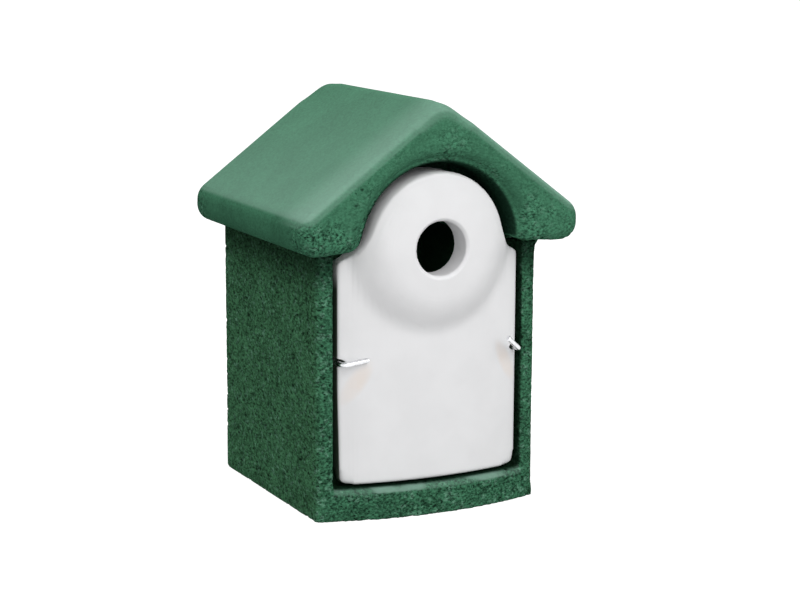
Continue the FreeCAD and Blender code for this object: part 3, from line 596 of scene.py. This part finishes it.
def roof_corners(tree, place):
    """Where the roof is rounded off more: the feet of its arch and the two ends of its ridge."""
    x, y, z = parts_of(tree, place)
    low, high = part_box("roof")
    across = calc(tree, "SUBTRACT", calc(tree, "ABSOLUTE", x), ARCH_FOOT)
    away = distance(tree, across, calc(tree, "SUBTRACT", z, low.z))
    feet = product(tree, ramp(tree, away, *FOOT_AROUND), ramp(tree, y, *span(low.y, FOOT_DEPTH)))
    endwise = calc(tree, "SUBTRACT", high.y, calc(tree, "ABSOLUTE", y))
    reach = distance(tree, distance(tree, x, endwise), calc(tree, "SUBTRACT", high.z, z))
    return largest(tree, feet, ramp(tree, reach, *RIDGE_AROUND))


def rolled_arch(tree, geometry, place, normal):
    """The feet of the roof's arch are rounded off, and its front edge rolls inwards."""
    geometry = softened(tree, geometry, place, roof_corners(tree, place), ROOF_SOFTENING)
    low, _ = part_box("roof")
    _, y, z = parts_of(tree, place)
    away, direction = outward(tree, place, low.z)
    deep = calc(tree, "SUBTRACT", y, low.y)
    centre = LIP_ROLL - LIP_FILL
    start = LIP_ROLL - math.sqrt(LIP_ROLL ** 2 - centre ** 2)
    reach = held(tree, calc(tree, "SUBTRACT", ARCH_RADIUS + centre, away), centre)
    back = arc_depth(tree, LIP_ROLL, reach)
    later = ramp(tree, deep, LIP_DEPTH, 0.0, 0.0, start, smooth=False)
    reach = held(tree, calc(tree, "SUBTRACT", LIP_ROLL, calc(tree, "ADD", deep, later)), LIP_ROLL - start)
    inwards = calc(tree, "SUBTRACT", arc_depth(tree, LIP_ROLL, reach), LIP_FILL)
    on_face = ramp(tree, parts_of(tree, normal)[1], *FACING_AGAINST)
    on_wall = product(
        tree, ramp(tree, dot(tree, normal, direction), *FACING_AGAINST),
        ramp(tree, away, *span(ARCH_RADIUS, ARCH_WALL_OUTER)),
        ramp(tree, away, *span(ARCH_RADIUS, ARCH_WALL_INNER)),
        ramp(tree, deep, *ARCH_WALL_DEPTH),
    )
    above = ramp(tree, calc(tree, "SUBTRACT", z, low.z), *ARCH_WALL_RISE)
    step = calc(tree, "ADD", product(tree, back, on_face), product(tree, later, on_wall))
    rolled = scaled(tree, direction, product(tree, inwards, on_wall, above))
    offset = vectors(tree, "ADD", vector_of(tree, Y=step), rolled)
    return shifted(tree, geometry, offset, ARCH_BLUR)


def soft_box(tree, geometry, place, normal):
    """The upright front corners of the box are well rounded, short of the roof."""
    x, y, z = parts_of(tree, place)
    low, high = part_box("box_body")
    across = calc(tree, "SUBTRACT", high.x, calc(tree, "ABSOLUTE", x))
    deep = calc(tree, "SUBTRACT", y, low.y + FRONT_BOW)
    corners = product(
        tree, ramp(tree, distance(tree, across, deep), *CORNER_AROUND), ramp(tree, z, *CORNER_FOOT),
        ramp(tree, z, *span(high.z, CORNER_TOP)),
    )
    return softened(tree, geometry, place, corners, CORNER_SOFTENING)


def full_bead(tree, geometry, place, normal):
    """The bead of mortar under the right eave is fuller than its solid and ends behind the rounded corner."""
    x, y, z = parts_of(tree, place)
    low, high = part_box("box_body")
    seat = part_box("roof_mortar_bed")[1].z
    beyond = calc(tree, "SUBTRACT", x, high.x)
    outside = ramp(tree, beyond, *BEAD_OUTSIDE)
    wider = calc(tree, "MULTIPLY", calc(tree, "MAXIMUM", beyond, 0.0), BEAD_GROWTH)
    back = ramp(tree, y, *span(low.y + FRONT_BOW, BEAD_END), 0.0, BEAD_SETBACK)
    lower = calc(tree, "MULTIPLY", calc(tree, "SUBTRACT", z, seat), BEAD_GROWTH)
    offset = scaled(tree, vector_of(tree, X=wider, Y=back, Z=lower), outside)
    return shifted(tree, geometry, offset, BEAD_BLUR)


def woodcrete_tree(name, marks, shaping, labels):
    """Geometry nodes that shape a casting, press pits and grain into it and note them for its finish."""
    tree, sockets, given = new_tree(name, labels)
    place = add(tree, "GeometryNodeInputPosition").outputs[0]
    normal = add(tree, "GeometryNodeInputNormal").outputs[0]
    geometry = shaping(tree, given["Geometry"], place, normal)

    def noise_of(label, **more):
        scale = calc(tree, "DIVIDE", 1.0, given[label])
        return add(tree, "ShaderNodeTexNoise", {"Vector": place, "Scale": scale, **more}).outputs[0]

    coarse, painted_sheen, painted_shade = marks(tree, place, normal)
    patches = ramp(tree, noise(tree, place, PATCH_SPACING), *PATCH_SPAN, *PATCH_COARSENESS)
    coarse = calc(tree, "MULTIPLY", patches, coarse)
    pit = pitting(tree, place, calc(tree, "DIVIDE", 1.0, given["Pit Spacing"]), coarse)
    grain = ramp(tree, noise_of("Grain Spacing", Detail=2.0, Roughness=GRAIN_ROUGHNESS), *GRAIN_SPAN)
    swell = noise_of("Swell Spacing", Detail=1.0)
    sunk = calc(tree, "MULTIPLY", pit, given["Pit Depth"])
    worn = product(tree, grain, coarse, given["Grain Depth"])
    waved = calc(tree, "MULTIPLY", swell, given["Swell Depth"])
    total = calc(tree, "ADD", calc(tree, "ADD", sunk, worn), waved)
    inward = scaled(tree, normal, calc(tree, "MULTIPLY", total, -1.0))
    # The painted sheen and the painted shade are noted with the pits for the finish.
    for label, value in (("pit", pit), ("coarse", coarse), ("painted_sheen", painted_sheen), ("painted_shade", painted_shade)):
        geometry = stored(tree, geometry, label, value)
    moved = add(tree, "GeometryNodeSetPosition", {"Geometry": geometry, "Offset": inward}).outputs[0]
    smooth = add(tree, "GeometryNodeSetShadeSmooth", {"Geometry": moved}).outputs[0]
    end_tree(tree, smooth, given["Material"])
    return tree, sockets


def dense_copy(name, node, spacing, rounds):
    """A copy of a CAD node as even small faces, with its edges softened."""
    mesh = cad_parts[node].data.copy()
    mesh.materials.clear()
    welded = bmesh.new()
    welded.from_mesh(mesh)
    bmesh.ops.remove_doubles(welded, verts=welded.verts, dist=WELD)
    welded.to_mesh(mesh)
    welded.free()
    piece = bpy.data.objects.new(name, mesh)
    bpy.context.scene.collection.objects.link(piece)
    remesh = piece.modifiers.new("even_faces", "REMESH")
    remesh.mode = "VOXEL"
    remesh.voxel_size = spacing
    remesh.use_smooth_shade = True
    smooth = piece.modifiers.new("soft_edges", "SMOOTH")
    smooth.factor = EDGE_SMOOTHING
    smooth.iterations = rounds
    return piece


def set_mesh(piece):
    """Turn a piece and its modifiers into a plain mesh."""
    ready = piece.evaluated_get(bpy.context.evaluated_depsgraph_get())
    mesh = bpy.data.meshes.new_from_object(ready)
    piece.modifiers.clear()
    piece.data = mesh
    mesh.name = piece.name


def casting(name, node, spacing, tree, values, share, body):
    """A woodcrete casting: the CAD node as even small faces, shaped, pitted and thinned where it is flat."""
    piece = dense_copy(name, node, spacing, CASTING_ROUNDS)
    use_tree(piece, *tree, values)
    thin = piece.modifiers.new("thin", "DECIMATE")
    thin.ratio = share
    set_mesh(piece)
    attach(piece, body)
    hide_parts(node)


def new_material(name):
    """A material with its node tree, Principled shader and Object coordinates."""
    material = bpy.data.materials.new(name)
    material.use_nodes = True
    tree = material.node_tree
    shader = tree.nodes["Principled BSDF"]
    place = add(tree, "ShaderNodeTexCoord").outputs["Object"]
    return material, tree, shader, place


def mixed(tree, share, first, second):
    """Mix two colours."""
    made = add(tree, "ShaderNodeMix", {"Factor": share}, data_type="RGBA")
    for socket, colour in ((made.inputs[6], first), (made.inputs[7], second)):
        if isinstance(colour, bpy.types.NodeSocket):
            tree.links.new(colour, socket)
        else:
            socket.default_value = (*colour, 1.0)
    return made.outputs[2]


def attribute(tree, label):
    """A number stored on the mesh."""
    return add(tree, "ShaderNodeAttribute", attribute_name=label).outputs["Fac"]


def clouded(tree, place, spacing, tones, detail=3.0):
    """Soft clouds that make a colour darker and lighter."""
    return ramp(tree, noise(tree, place, spacing, detail), *NOISE_SPAN, *tones)


def raised(tree, shader, height, distance_out, strength):
    """Give a shader fine relief."""
    bump = add(tree, "ShaderNodeBump", {"Strength": strength, "Distance": distance_out, "Height": height})
    tree.links.new(bump.outputs[0], shader.inputs["Normal"])


def woodcrete(name, colour, front_light_colour):
    """Stained woodcrete: mottled green, a darker, bluer green in front as painted light, painted shade in its
    pits and where marked, a painted sheen where marked, and paler grains.
    """
    material, tree, shader, place = new_material(name)
    low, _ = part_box("box_body")
    # Painted light: the front gets its own darker, bluer green.
    in_front = ramp(tree, parts_of(tree, place)[1], *span(low.y, FRONT_DEPTH))
    colour = mixed(tree, in_front, colour, front_light_colour)
    coarse = attribute(tree, "coarse")
    rough = ramp(tree, coarse, *ROUGH_SPAN)
    clouds = clouded(tree, place, CLOUD_SPACING, WOODCRETE_CLOUDS)
    fleck = noise(tree, vectors(tree, "MULTIPLY", place, PIT_STRETCH), FLECK_SPACING, 3.0, FLECK_ROUGHNESS)
    lumps = noise(tree, place, LUMP_SPACING)
    contrast = product(
        tree, ramp(tree, rough, 0.0, 1.0, SMOOTH_CONTRAST, 1.0, smooth=False),
        ramp(tree, in_front, 0.0, 1.0, 1.0, FRONT_CONTRAST),
    )
    grain = calc(
        tree, "ADD", ramp(tree, fleck, *NOISE_SPAN, *FLECK_SWING, smooth=False),
        ramp(tree, lumps, *NOISE_SPAN, *LUMP_SWING, smooth=False),
    )
    grain = calc(tree, "MAXIMUM", calc(tree, "ADD", product(tree, grain, contrast), 1.0), DARKEST_FLECK)
    small = pitting(tree, place, 1.0 / FINE_PIT_SPACING, coarse)
    # Painted shade in the pits, those in the mesh and finer ones.
    shade = ramp(tree, largest(tree, attribute(tree, "pit"), small), *PIT_SPAN, 1.0, PIT_SHADE)
    # Painted shade where the marks say: in the arch, under the eaves and behind the panel.
    painted_darkening = ramp(tree, attribute(tree, "painted_shade"), 0.0, 1.0, 1.0, PAINTED_SHADE_DARKEST)
    chance = parts_of(tree, cell_colour(tree, place, SPECK_SPACING))[0]
    speck = product(tree, ramp(tree, chance, *SPECK_CHANCE, 0.0, SPECK_SHARE), rough)
    body = scaled(tree, mixed(tree, speck, colour, GRAIN_GREEN), product(tree, clouds, grain, shade, painted_darkening))
    # Painted sheen: pale green mixed in where the marks say.
    sheen_share = ramp(tree, rough, 0.0, 1.0, SHEEN_SHARE, ROUGH_SHEEN * SHEEN_SHARE)
    painted_sheen = product(tree, attribute(tree, "painted_sheen"), sheen_share)
    tree.links.new(mixed(tree, painted_sheen, body, PAINTED_SHEEN_PALE), shader.inputs["Base Color"])
    tree.links.new(ramp(tree, rough, 0.0, 1.0, *WOODCRETE_GLOSS), shader.inputs["Roughness"])
    shader.inputs["Specular IOR Level"].default_value = 0.0
    height = calc(tree, "SUBTRACT", fleck, calc(tree, "MULTIPLY", small, FINE_PIT_BUMP))
    relief = ramp(tree, rough, 0.0, 1.0, SMOOTH_RELIEF, 1.0, smooth=False)
    raised(tree, shader, height, WOODCRETE_BUMP, relief)
    return material


def white_finish():
    """Smooth white paint in front, dull green on the sides darkened as painted shade of the gap, with faint
    rusty stains below the hooks.
    """
    material, tree, shader, place = new_material("white_panel")
    x, _, z = parts_of(tree, place)
    clouds = clouded(tree, place, CLOUD_SPACING, PAINT_CLOUDS)
    colour = PANEL_WHITE
    blot = ramp(tree, noise(tree, place, BLOT_SPACING), *BLOT_SPAN, *BLOT_SHARE)
    for at_x, at_z, half_x, half_z, lean in STAINS:
        rise = calc(tree, "SUBTRACT", z, at_z)
        upright = calc(tree, "SUBTRACT", calc(tree, "SUBTRACT", x, at_x), calc(tree, "MULTIPLY", rise, lean))
        away = squares(tree, calc(tree, "DIVIDE", upright, half_x), calc(tree, "DIVIDE", rise, half_z))
        stain = calc(tree, "MULTIPLY", ramp(tree, away, 1.0, 0.0, 0.0, STAIN_STRENGTH), blot)
        colour = mixed(tree, stain, colour, STAIN_PEACH)
    # Painted shade: the sides below the shoulders are dark green.
    colour = mixed(tree, attribute(tree, "side"), colour, SIDE_SHADE_GREEN)
    tree.links.new(scaled(tree, colour, clouds), shader.inputs["Base Color"])
    shader.inputs["Roughness"].default_value = PAINT_ROUGHNESS
    shader.inputs["Specular IOR Level"].default_value = PAINT_SPECULAR
    fine = noise(tree, place, PAINT_GRAIN, 3.0, PAINT_GRAIN_ROUGHNESS)
    raised(tree, shader, fine, PAINT_BUMP, PAINT_BUMP_STRENGTH)
    return material


def metal(name, colour, roughness, spacing):
    """Zinc on steel, slightly clouded."""
    material, tree, shader, place = new_material(name)
    clouds = clouded(tree, place, spacing, METAL_CLOUDS)
    tree.links.new(scaled(tree, colour, clouds), shader.inputs["Base Color"])
    dull = clouded(tree, place, spacing, (roughness, roughness + METAL_DULLING), 2.0)
    tree.links.new(dull, shader.inputs["Roughness"])
    shader.inputs["Metallic"].default_value = 1.0
    return material


def nylon():
    """Grey moulded nylon."""
    material, tree, shader, place = new_material("nylon")
    clouds = clouded(tree, place, NYLON_CLOUDING, NYLON_CLOUDS, 2.0)
    tree.links.new(scaled(tree, NYLON_GREY, clouds), shader.inputs["Base Color"])
    shader.inputs["Roughness"].default_value = NYLON_ROUGHNESS
    return material


def spangled():
    """Galvanised sheet: flat crystals of zinc, each a little lighter or darker than the next."""
    material, tree, shader, place = new_material("galvanised_steel")
    tone, gloss, _ = parts_of(tree, cell_colour(tree, place, SPANGLE_SPACING))
    clouds = clouded(tree, place, STRAP_CLOUDING, STRAP_CLOUDS)
    flake = ramp(tree, tone, 0.0, 1.0, *SPANGLE_TONES, smooth=False)
    tree.links.new(scaled(tree, GALVANISED, product(tree, clouds, flake)), shader.inputs["Base Color"])
    tree.links.new(ramp(tree, gloss, 0.0, 1.0, *SPANGLE_GLOSS, smooth=False), shader.inputs["Roughness"])
    shader.inputs["Metallic"].default_value = 1.0
    return material


def pan_head(tree, given, x, y, z):
    """A screw's pan head with a cross recess, on its seat at 0."""
    inputs = {"Segments": HEAD_SIDES, "Rings": HEAD_RINGS, "Radius": 1.0}
    ball = add(tree, "GeometryNodeMeshUVSphere", inputs).outputs["Mesh"]
    away = calc(tree, "MAXIMUM", distance(tree, x, y), NEAR_AXIS)
    fuller = calc(tree, "MULTIPLY", calc(tree, "POWER", away, PAN_SHAPE - 1.0), given["Head Radius"])
    rise = calc(tree, "POWER", calc(tree, "MAXIMUM", z, 0.0), PAN_SHAPE)
    shape = vector_of(
        tree, X=calc(tree, "MULTIPLY", x, fuller), Y=calc(tree, "MULTIPLY", y, fuller),
        Z=calc(tree, "MULTIPLY", rise, given["Head Height"]),
    )
    head = add(tree, "GeometryNodeSetPosition", {"Geometry": ball, "Position": shape}).outputs[0]
    recess = add(tree, "GeometryNodeJoinGeometry")
    deep = calc(tree, "MULTIPLY", given["Recess Depth"], 2.0)
    top = vector_of(tree, Z=given["Head Height"])
    for long, wide in (("Recess Length", "Recess Width"), ("Recess Width", "Recess Length")):
        size = vector_of(tree, X=given[long], Y=given[wide], Z=deep)
        bar = add(tree, "GeometryNodeMeshCube", {"Size": size}).outputs["Mesh"]
        bar = add(tree, "GeometryNodeTransform", {"Geometry": bar, "Translation": top}).outputs[0]
        tree.links.new(bar, recess.inputs[0])
    cut = add(tree, "GeometryNodeMeshBoolean", operation="DIFFERENCE")
    tree.links.new(head, cut.inputs[0])
    tree.links.new(recess.outputs[0], cut.inputs[1])
    return cut.outputs[0]


def threaded_shank(tree, given, x, y, z):
    """A screw's shank with a thread, a plain neck and a point, hanging from 0."""
    rod = add(tree, "GeometryNodeMeshCylinder", {
        "Vertices": SHANK_SIDES,
        "Side Segments": SHANK_RINGS,
        "Radius": given["Shank Radius"],
        "Depth": given["Length"],
    }).outputs["Mesh"]
    half = calc(tree, "MULTIPLY", given["Length"], 0.5)
    turn = calc(tree, "DIVIDE", calc(tree, "ARCTAN2", y, x), 2.0 * math.pi)
    wound = calc(tree, "SUBTRACT", calc(tree, "DIVIDE", z, given["Thread Pitch"]), turn)
    ridge = calc(tree, "MULTIPLY", calc(tree, "PINGPONG", wound, 0.5), 2.0)
    thread = product(tree, calc(tree, "SUBTRACT", 1.0, ridge), given["Thread Depth"])
    neck = ramp(tree, calc(tree, "SUBTRACT", half, z), *PLAIN_NECK)
    cut = calc(tree, "DIVIDE", product(tree, thread, neck), given["Shank Radius"])
    taper = ramp(tree, calc(tree, "ADD", z, half), 0.0, POINT_LENGTH, POINT_WIDTH, 1.0, smooth=False)
    width = calc(tree, "MULTIPLY", calc(tree, "SUBTRACT", 1.0, cut), taper)
    shape = vector_of(
        tree, X=calc(tree, "MULTIPLY", x, width), Y=calc(tree, "MULTIPLY", y, width),
        Z=calc(tree, "SUBTRACT", z, half),
    )
    return add(tree, "GeometryNodeSetPosition", {"Geometry": rod, "Position": shape}).outputs[0]


def screw_tree():
    """Geometry nodes for a row of pan-head screws, each turned differently, their heads facing back."""
    tree, sockets, given = new_tree("strap_screws", SCREW)
    x, y, z = parts_of(tree, add(tree, "GeometryNodeInputPosition").outputs[0])
    screw = add(tree, "GeometryNodeJoinGeometry")
    for part in (pan_head(tree, given, x, y, z), threaded_shank(tree, given, x, y, z)):
        tree.links.new(part, screw.inputs[0])
    angle = add(tree, "GeometryNodeInputMeshEdgeAngle").outputs[0]
    inputs = {"Geometry": screw.outputs[0], "Shade Smooth": calc(tree, "LESS_THAN", angle, SHARP_EDGE)}
    edged = add(tree, "GeometryNodeSetShadeSmooth", inputs, domain="EDGE").outputs[0]
    row = add(tree, "GeometryNodeMeshLine", {
        "Count": SCREW_COUNT,
        "Start Location": vector_of(tree, Y=given["Seat"], Z=given["Low Height"]),
        "Offset": vector_of(tree, Z=given["Spacing"]),
    }, mode="OFFSET").outputs[0]
    inputs = {"Points": row, "Instance": edged, "Rotation": (-math.pi / 2, 0.0, 0.0)}
    placed = add(tree, "GeometryNodeInstanceOnPoints", inputs).outputs[0]
    index = add(tree, "GeometryNodeInputIndex").outputs[0]
    driven = calc(tree, "ADD", calc(tree, "MULTIPLY", index, NEXT_TURN), FIRST_TURN)
    inputs = {"Instances": placed, "Rotation": vector_of(tree, Z=driven)}
    turned = add(tree, "GeometryNodeRotateInstances", inputs).outputs[0]
    end_tree(tree, turned, given["Material"])
    return tree, sockets


def make_screws(material):
    """The two screws that hold the strap."""
    piece = bpy.data.objects.new("strap_screws", bpy.data.meshes.new("strap_screws"))
    bpy.context.scene.collection.objects.link(piece)
    tree, sockets = screw_tree()
    use_tree(piece, tree, sockets, {**SCREW, "Material": material})
    set_mesh(piece)
    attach(piece, "box")
    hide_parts("hanger_screws")


def make_castings():
    """Box, roof and mortar bed."""
    walls = woodcrete("woodcrete", WALL_GREEN, FRONT_LIGHT_GREEN)
    slopes = woodcrete("roof_woodcrete", ROOF_GREEN, ROOF_GREEN)
    mortar = woodcrete("mortar", MORTAR_GREEN, MORTAR_GREEN)
    values = {
        "Pit Spacing": PIT_SPACING,
        "Pit Depth": PIT_DEPTH,
        "Grain Spacing": GRAIN_SPACING,
        "Grain Depth": GRAIN_DEPTH,
        "Swell Spacing": SWELL_SPACING,
        "Swell Depth": SWELL_DEPTH,
    }
    walled = woodcrete_tree("wall_pits", wall_marks, soft_box, values)
    casting(
        "box_casting", "box_body", WALL_MESH, walled, {**values, "Material": walls}, WALL_SHARE,
        "box",
    )
    roofed = woodcrete_tree("roof_pits", roof_marks, rolled_arch, values)
    casting(
        "roof_casting", "roof", ROOF_MESH, roofed, {**values, "Material": slopes}, ROOF_SHARE,
        "box",
    )
    bedded = woodcrete_tree("mortar_pits", mortar_marks, full_bead, values)
    shallow = {"Pit Depth": MORTAR_PIT_DEPTH, "Grain Depth": MORTAR_GRAIN_DEPTH, "Swell Depth": 0.0}
    casting(
        "mortar_bead", "roof_mortar_bed", MORTAR_MESH, bedded, {**values, **shallow, "Material": mortar},
        MORTAR_SHARE, "box",
    )


def dome_depth(tree, away, up, root, bow):
    """How far the front of the panel lies behind the foremost point of its dome."""
    past_rim = calc(tree, "POWER", calc(tree, "MAXIMUM", away, DOME_RIM), 2.0)
    crown = calc(tree, "DIVIDE", calc(tree, "SUBTRACT", past_rim, DOME_RIM ** 2), 2 * DOME_CROWN)
    face = ramp(tree, up, *DOME_WIDENS, DOME_FACE, DOME_FACE_TOP)
    reach = calc(tree, "MAXIMUM", calc(tree, "SUBTRACT", away, face), 0.0)
    rolled = calc(tree, "MINIMUM", reach, DOME_ROLL * math.sin(DOME_SLOPE))
    straight = calc(tree, "MULTIPLY", calc(tree, "SUBTRACT", reach, rolled), math.tan(DOME_SLOPE))
    roll = calc(tree, "ADD", arc_depth(tree, DOME_ROLL, rolled), straight)
    dome = calc(tree, "ADD", calc(tree, "ADD", roll, crown), calc(tree, "MULTIPLY", bow, DOME_BOW_SHARE))
    plain = calc(tree, "ADD", bow, DOME_PROUD)
    inputs = {0: dome, 1: plain, 2: root}
    depth = add(tree, "ShaderNodeMath", inputs, operation="SMOOTH_MIN").outputs[0]
    inner = calc(tree, "MAXIMUM", calc(tree, "SUBTRACT", ENTRANCE_LIP, away), 0.0)
    return calc(tree, "ADD", depth, arc_depth(tree, LIP_ARC, calc(tree, "MINIMUM", inner, LIP_ARC)))


def panel_tree(labels):
    """Geometry nodes that carry the panel's dome out to its arched edge and trim its outline."""
    tree, sockets, given = new_tree("panel_form", labels)
    place = add(tree, "GeometryNodeInputPosition").outputs[0]
    normal = add(tree, "GeometryNodeInputNormal").outputs[0]
    low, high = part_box("front_panel")
    x, y, z = parts_of(tree, place)
    facing = parts_of(tree, normal)
    across = calc(tree, "ABSOLUTE", x)
    up = calc(tree, "SUBTRACT", z, ENTRANCE_HEIGHT)
    away, direction = outward(tree, place, ENTRANCE_HEIGHT)
    bow = calc(tree, "MULTIPLY", calc(tree, "POWER", x, 2.0), PANEL_BULGE / high.x ** 2)
    wanted = calc(tree, "MAXIMUM", dome_depth(tree, away, up, given["Root"], bow), 0.0)
    behind = calc(tree, "SUBTRACT", wanted, calc(tree, "SUBTRACT", y, low.y))
    on_front = product(
        tree, ramp(tree, facing[1], *DOME_FACING), ramp(tree, away, *DOME_FROM),
        ramp(tree, away, *DOME_UNTIL), ramp(tree, across, *DOME_ACROSS),
    )
    on_arch = product(
        tree, ramp(tree, dot(tree, normal, direction), *ARCH_FACING), ramp(tree, up, *ARCH_RISE),
        ramp(tree, away, *ARCH_FROM),
    )
    shoulder = product(
        tree, ramp(tree, across, *SHOULDER_ACROSS), ramp(tree, z, *SHOULDER_HEIGHT), given["Shoulder Drop"],
    )
    from_notch = calc(tree, "SUBTRACT", z, NOTCH_HEIGHT)
    notch = product(
        tree, ramp(tree, calc(tree, "ABSOLUTE", from_notch), *NOTCH_AROUND),
        ramp(tree, across, *NOTCH_ACROSS), from_notch, given["Notch Squeeze"],
    )
    lift = product(tree, ramp(tree, z, *span(low.z, LIFT_HEIGHT)), given["Lift"])
    raise_by = calc(tree, "SUBTRACT", calc(tree, "SUBTRACT", lift, notch), shoulder)
    taper = product(tree, ramp(tree, z, TAPER_TOP, low.z), given["Taper"])
    inset = product(tree, ramp(tree, x, *INSET_ACROSS), calc(tree, "ADD", taper, given["Inset"]))
    offset = vectors(
        tree, "ADD", vector_of(tree, X=inset, Y=product(tree, behind, on_front), Z=raise_by),
        scaled(tree, direction, product(tree, on_arch, given["Arch Trim"], -1.0)),
    )
    aside = calc(tree, "SUBTRACT", high.x, across)
    corner = ramp(tree, distance(tree, aside, calc(tree, "SUBTRACT", z, low.z)), *PANEL_CORNER)
    geometry = softened(tree, given["Geometry"], place, corner, CORNER_SOFTENING)
    # The sides where the finish paints shade.
    side = product(
        tree, ramp(tree, facing[1], *SIDE_FROM_FRONT), ramp(tree, facing[1], *SIDE_FROM_BACK),
        ramp(tree, z, *SIDE_HEIGHT), ramp(tree, away, *SIDE_FROM_ENTRANCE),
    )
    geometry = stored(tree, geometry, "side", side)
    formed = shifted(tree, geometry, offset, PANEL_BLUR)
    smooth = add(tree, "GeometryNodeSetShadeSmooth", {"Geometry": formed}).outputs[0]
    end_tree(tree, smooth, given["Material"])
    return tree, sockets


def make_panel():
    """The white front panel, with its edges softened as cast."""
    piece = dense_copy("panel_casting", "front_panel", PANEL_MESH, PANEL_ROUNDS)
    sizes = {
        "Root": DOME_ROOT,
        "Arch Trim": ARCH_TRIM,
        "Shoulder Drop": SHOULDER_DROP,
        "Notch Squeeze": NOTCH_SQUEEZE,
        "Lift": PANEL_LIFT,
        "Inset": PANEL_INSET,
        "Taper": PANEL_TAPER,
    }
    tree, sockets = panel_tree(sizes)
    use_tree(piece, tree, sockets, {**sizes, "Material": white_finish()})
    set_mesh(piece)
    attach(piece, "front")
    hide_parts("front_panel")


def paint_node(node, material):
    """Give a CAD node that stays a better finish."""
    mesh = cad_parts[node].data
    mesh.materials.clear()
    mesh.materials.append(material)


def make_hardware():
    """Hooks, plugs, strap and screws."""
    zinc = metal("zinc_wire", ZINC, WIRE_ROUGHNESS, WIRE_CLOUDING)
    for node in ("left_turn_hook", "right_turn_hook"):
        paint_node(node, zinc)
    plastic = nylon()
    for node in ("hook_plugs", "hanger_plugs"):
        paint_node(node, plastic)
    paint_node("hanger_strap", spangled())
    make_screws(metal("screw_steel", SCREW_ZINC, SCREW_ROUGHNESS, SCREW_CLOUDING))


def seen_directly(tree):
    """1 for what the camera sees, itself or in a mirror-like or clear surface."""
    path = add(tree, "ShaderNodeLightPath").outputs
    return largest(tree, path["Is Glossy Ray"], path["Is Transmission Ray"], path["Is Camera Ray"])


def make_floor():
    """A pale floor that runs out of sight. The camera sees it white, with a faint shadow."""
    mesh = bpy.data.meshes.new("floor")
    corners = [(-FLOOR_HALF, -FLOOR_HALF, 0), (FLOOR_HALF, -FLOOR_HALF, 0),
               (FLOOR_HALF, FLOOR_HALF, 0), (-FLOOR_HALF, FLOOR_HALF, 0)]
    mesh.from_pydata(corners, [], [(0, 1, 2, 3)])
    floor = bpy.data.objects.new("floor", mesh)
    bpy.context.scene.collection.objects.link(floor)
    material = bpy.data.materials.new("floor")
    material.use_nodes = True
    tree = material.node_tree
    lit = tree.nodes["Principled BSDF"]
    lit.inputs["Base Color"].default_value = (*FLOOR_PALE, 1.0)
    lit.inputs["Roughness"].default_value = FLOOR_ROUGHNESS
    lit.inputs["Specular IOR Level"].default_value = 0.0
    lit.inputs["Emission Color"].default_value = (1.0, 1.0, 1.0, 1.0)
    tree.links.new(calc(tree, "MULTIPLY", seen_directly(tree), FLOOR_GLOW), lit.inputs["Emission Strength"])
    mesh.materials.append(material)


def make_world():
    """Even white surroundings: full white to the camera, softer as light."""
    world = bpy.data.worlds.new("studio")
    bpy.context.scene.world = world
    world.use_nodes = True
    tree = world.node_tree
    back = tree.nodes["Background"]
    back.inputs["Color"].default_value = (1.0, 1.0, 1.0, 1.0)
    strength = ramp(tree, seen_directly(tree), 0.0, 1.0, AMBIENT, 1.0, smooth=False)
    tree.links.new(strength, back.inputs["Strength"])


def area_light(name, place, size, watts):
    """A square soft box aimed at the middle of the box."""
    lamp = bpy.data.lights.new(name, "AREA")
    lamp.shape = "SQUARE"
    lamp.size = size
    lamp.energy = watts
    light = bpy.data.objects.new(name, lamp)
    light.location = place
    light.rotation_euler = (Vector(LAMP_AIM) - Vector(place)).to_track_quat("-Z", "Y").to_euler()
    bpy.context.scene.collection.objects.link(light)


def make_camera():
    """The photograph's camera."""
    data = bpy.data.cameras.new("camera")
    data.lens = LENS_MM
    data.sensor_width = SENSOR_MM
    data.clip_start = CLIP_START
    camera = bpy.data.objects.new("camera", data)
    turn = (AIM - EYE).to_track_quat("-Z", "Y").to_matrix().to_4x4()
    camera.matrix_world = Matrix.Translation(EYE) @ turn @ Matrix.Rotation(ROLL, 4, "Z")
    bpy.context.scene.collection.objects.link(camera)
    bpy.context.scene.camera = camera


make_castings()
make_panel()
make_hardware()
make_floor()
make_world()
for lamp_name, lamp_place, lamp_size, lamp_watts in LAMPS:
    area_light(lamp_name, lamp_place, lamp_size, lamp_watts)
make_camera()
bpy.context.scene.view_settings.view_transform = "Standard"
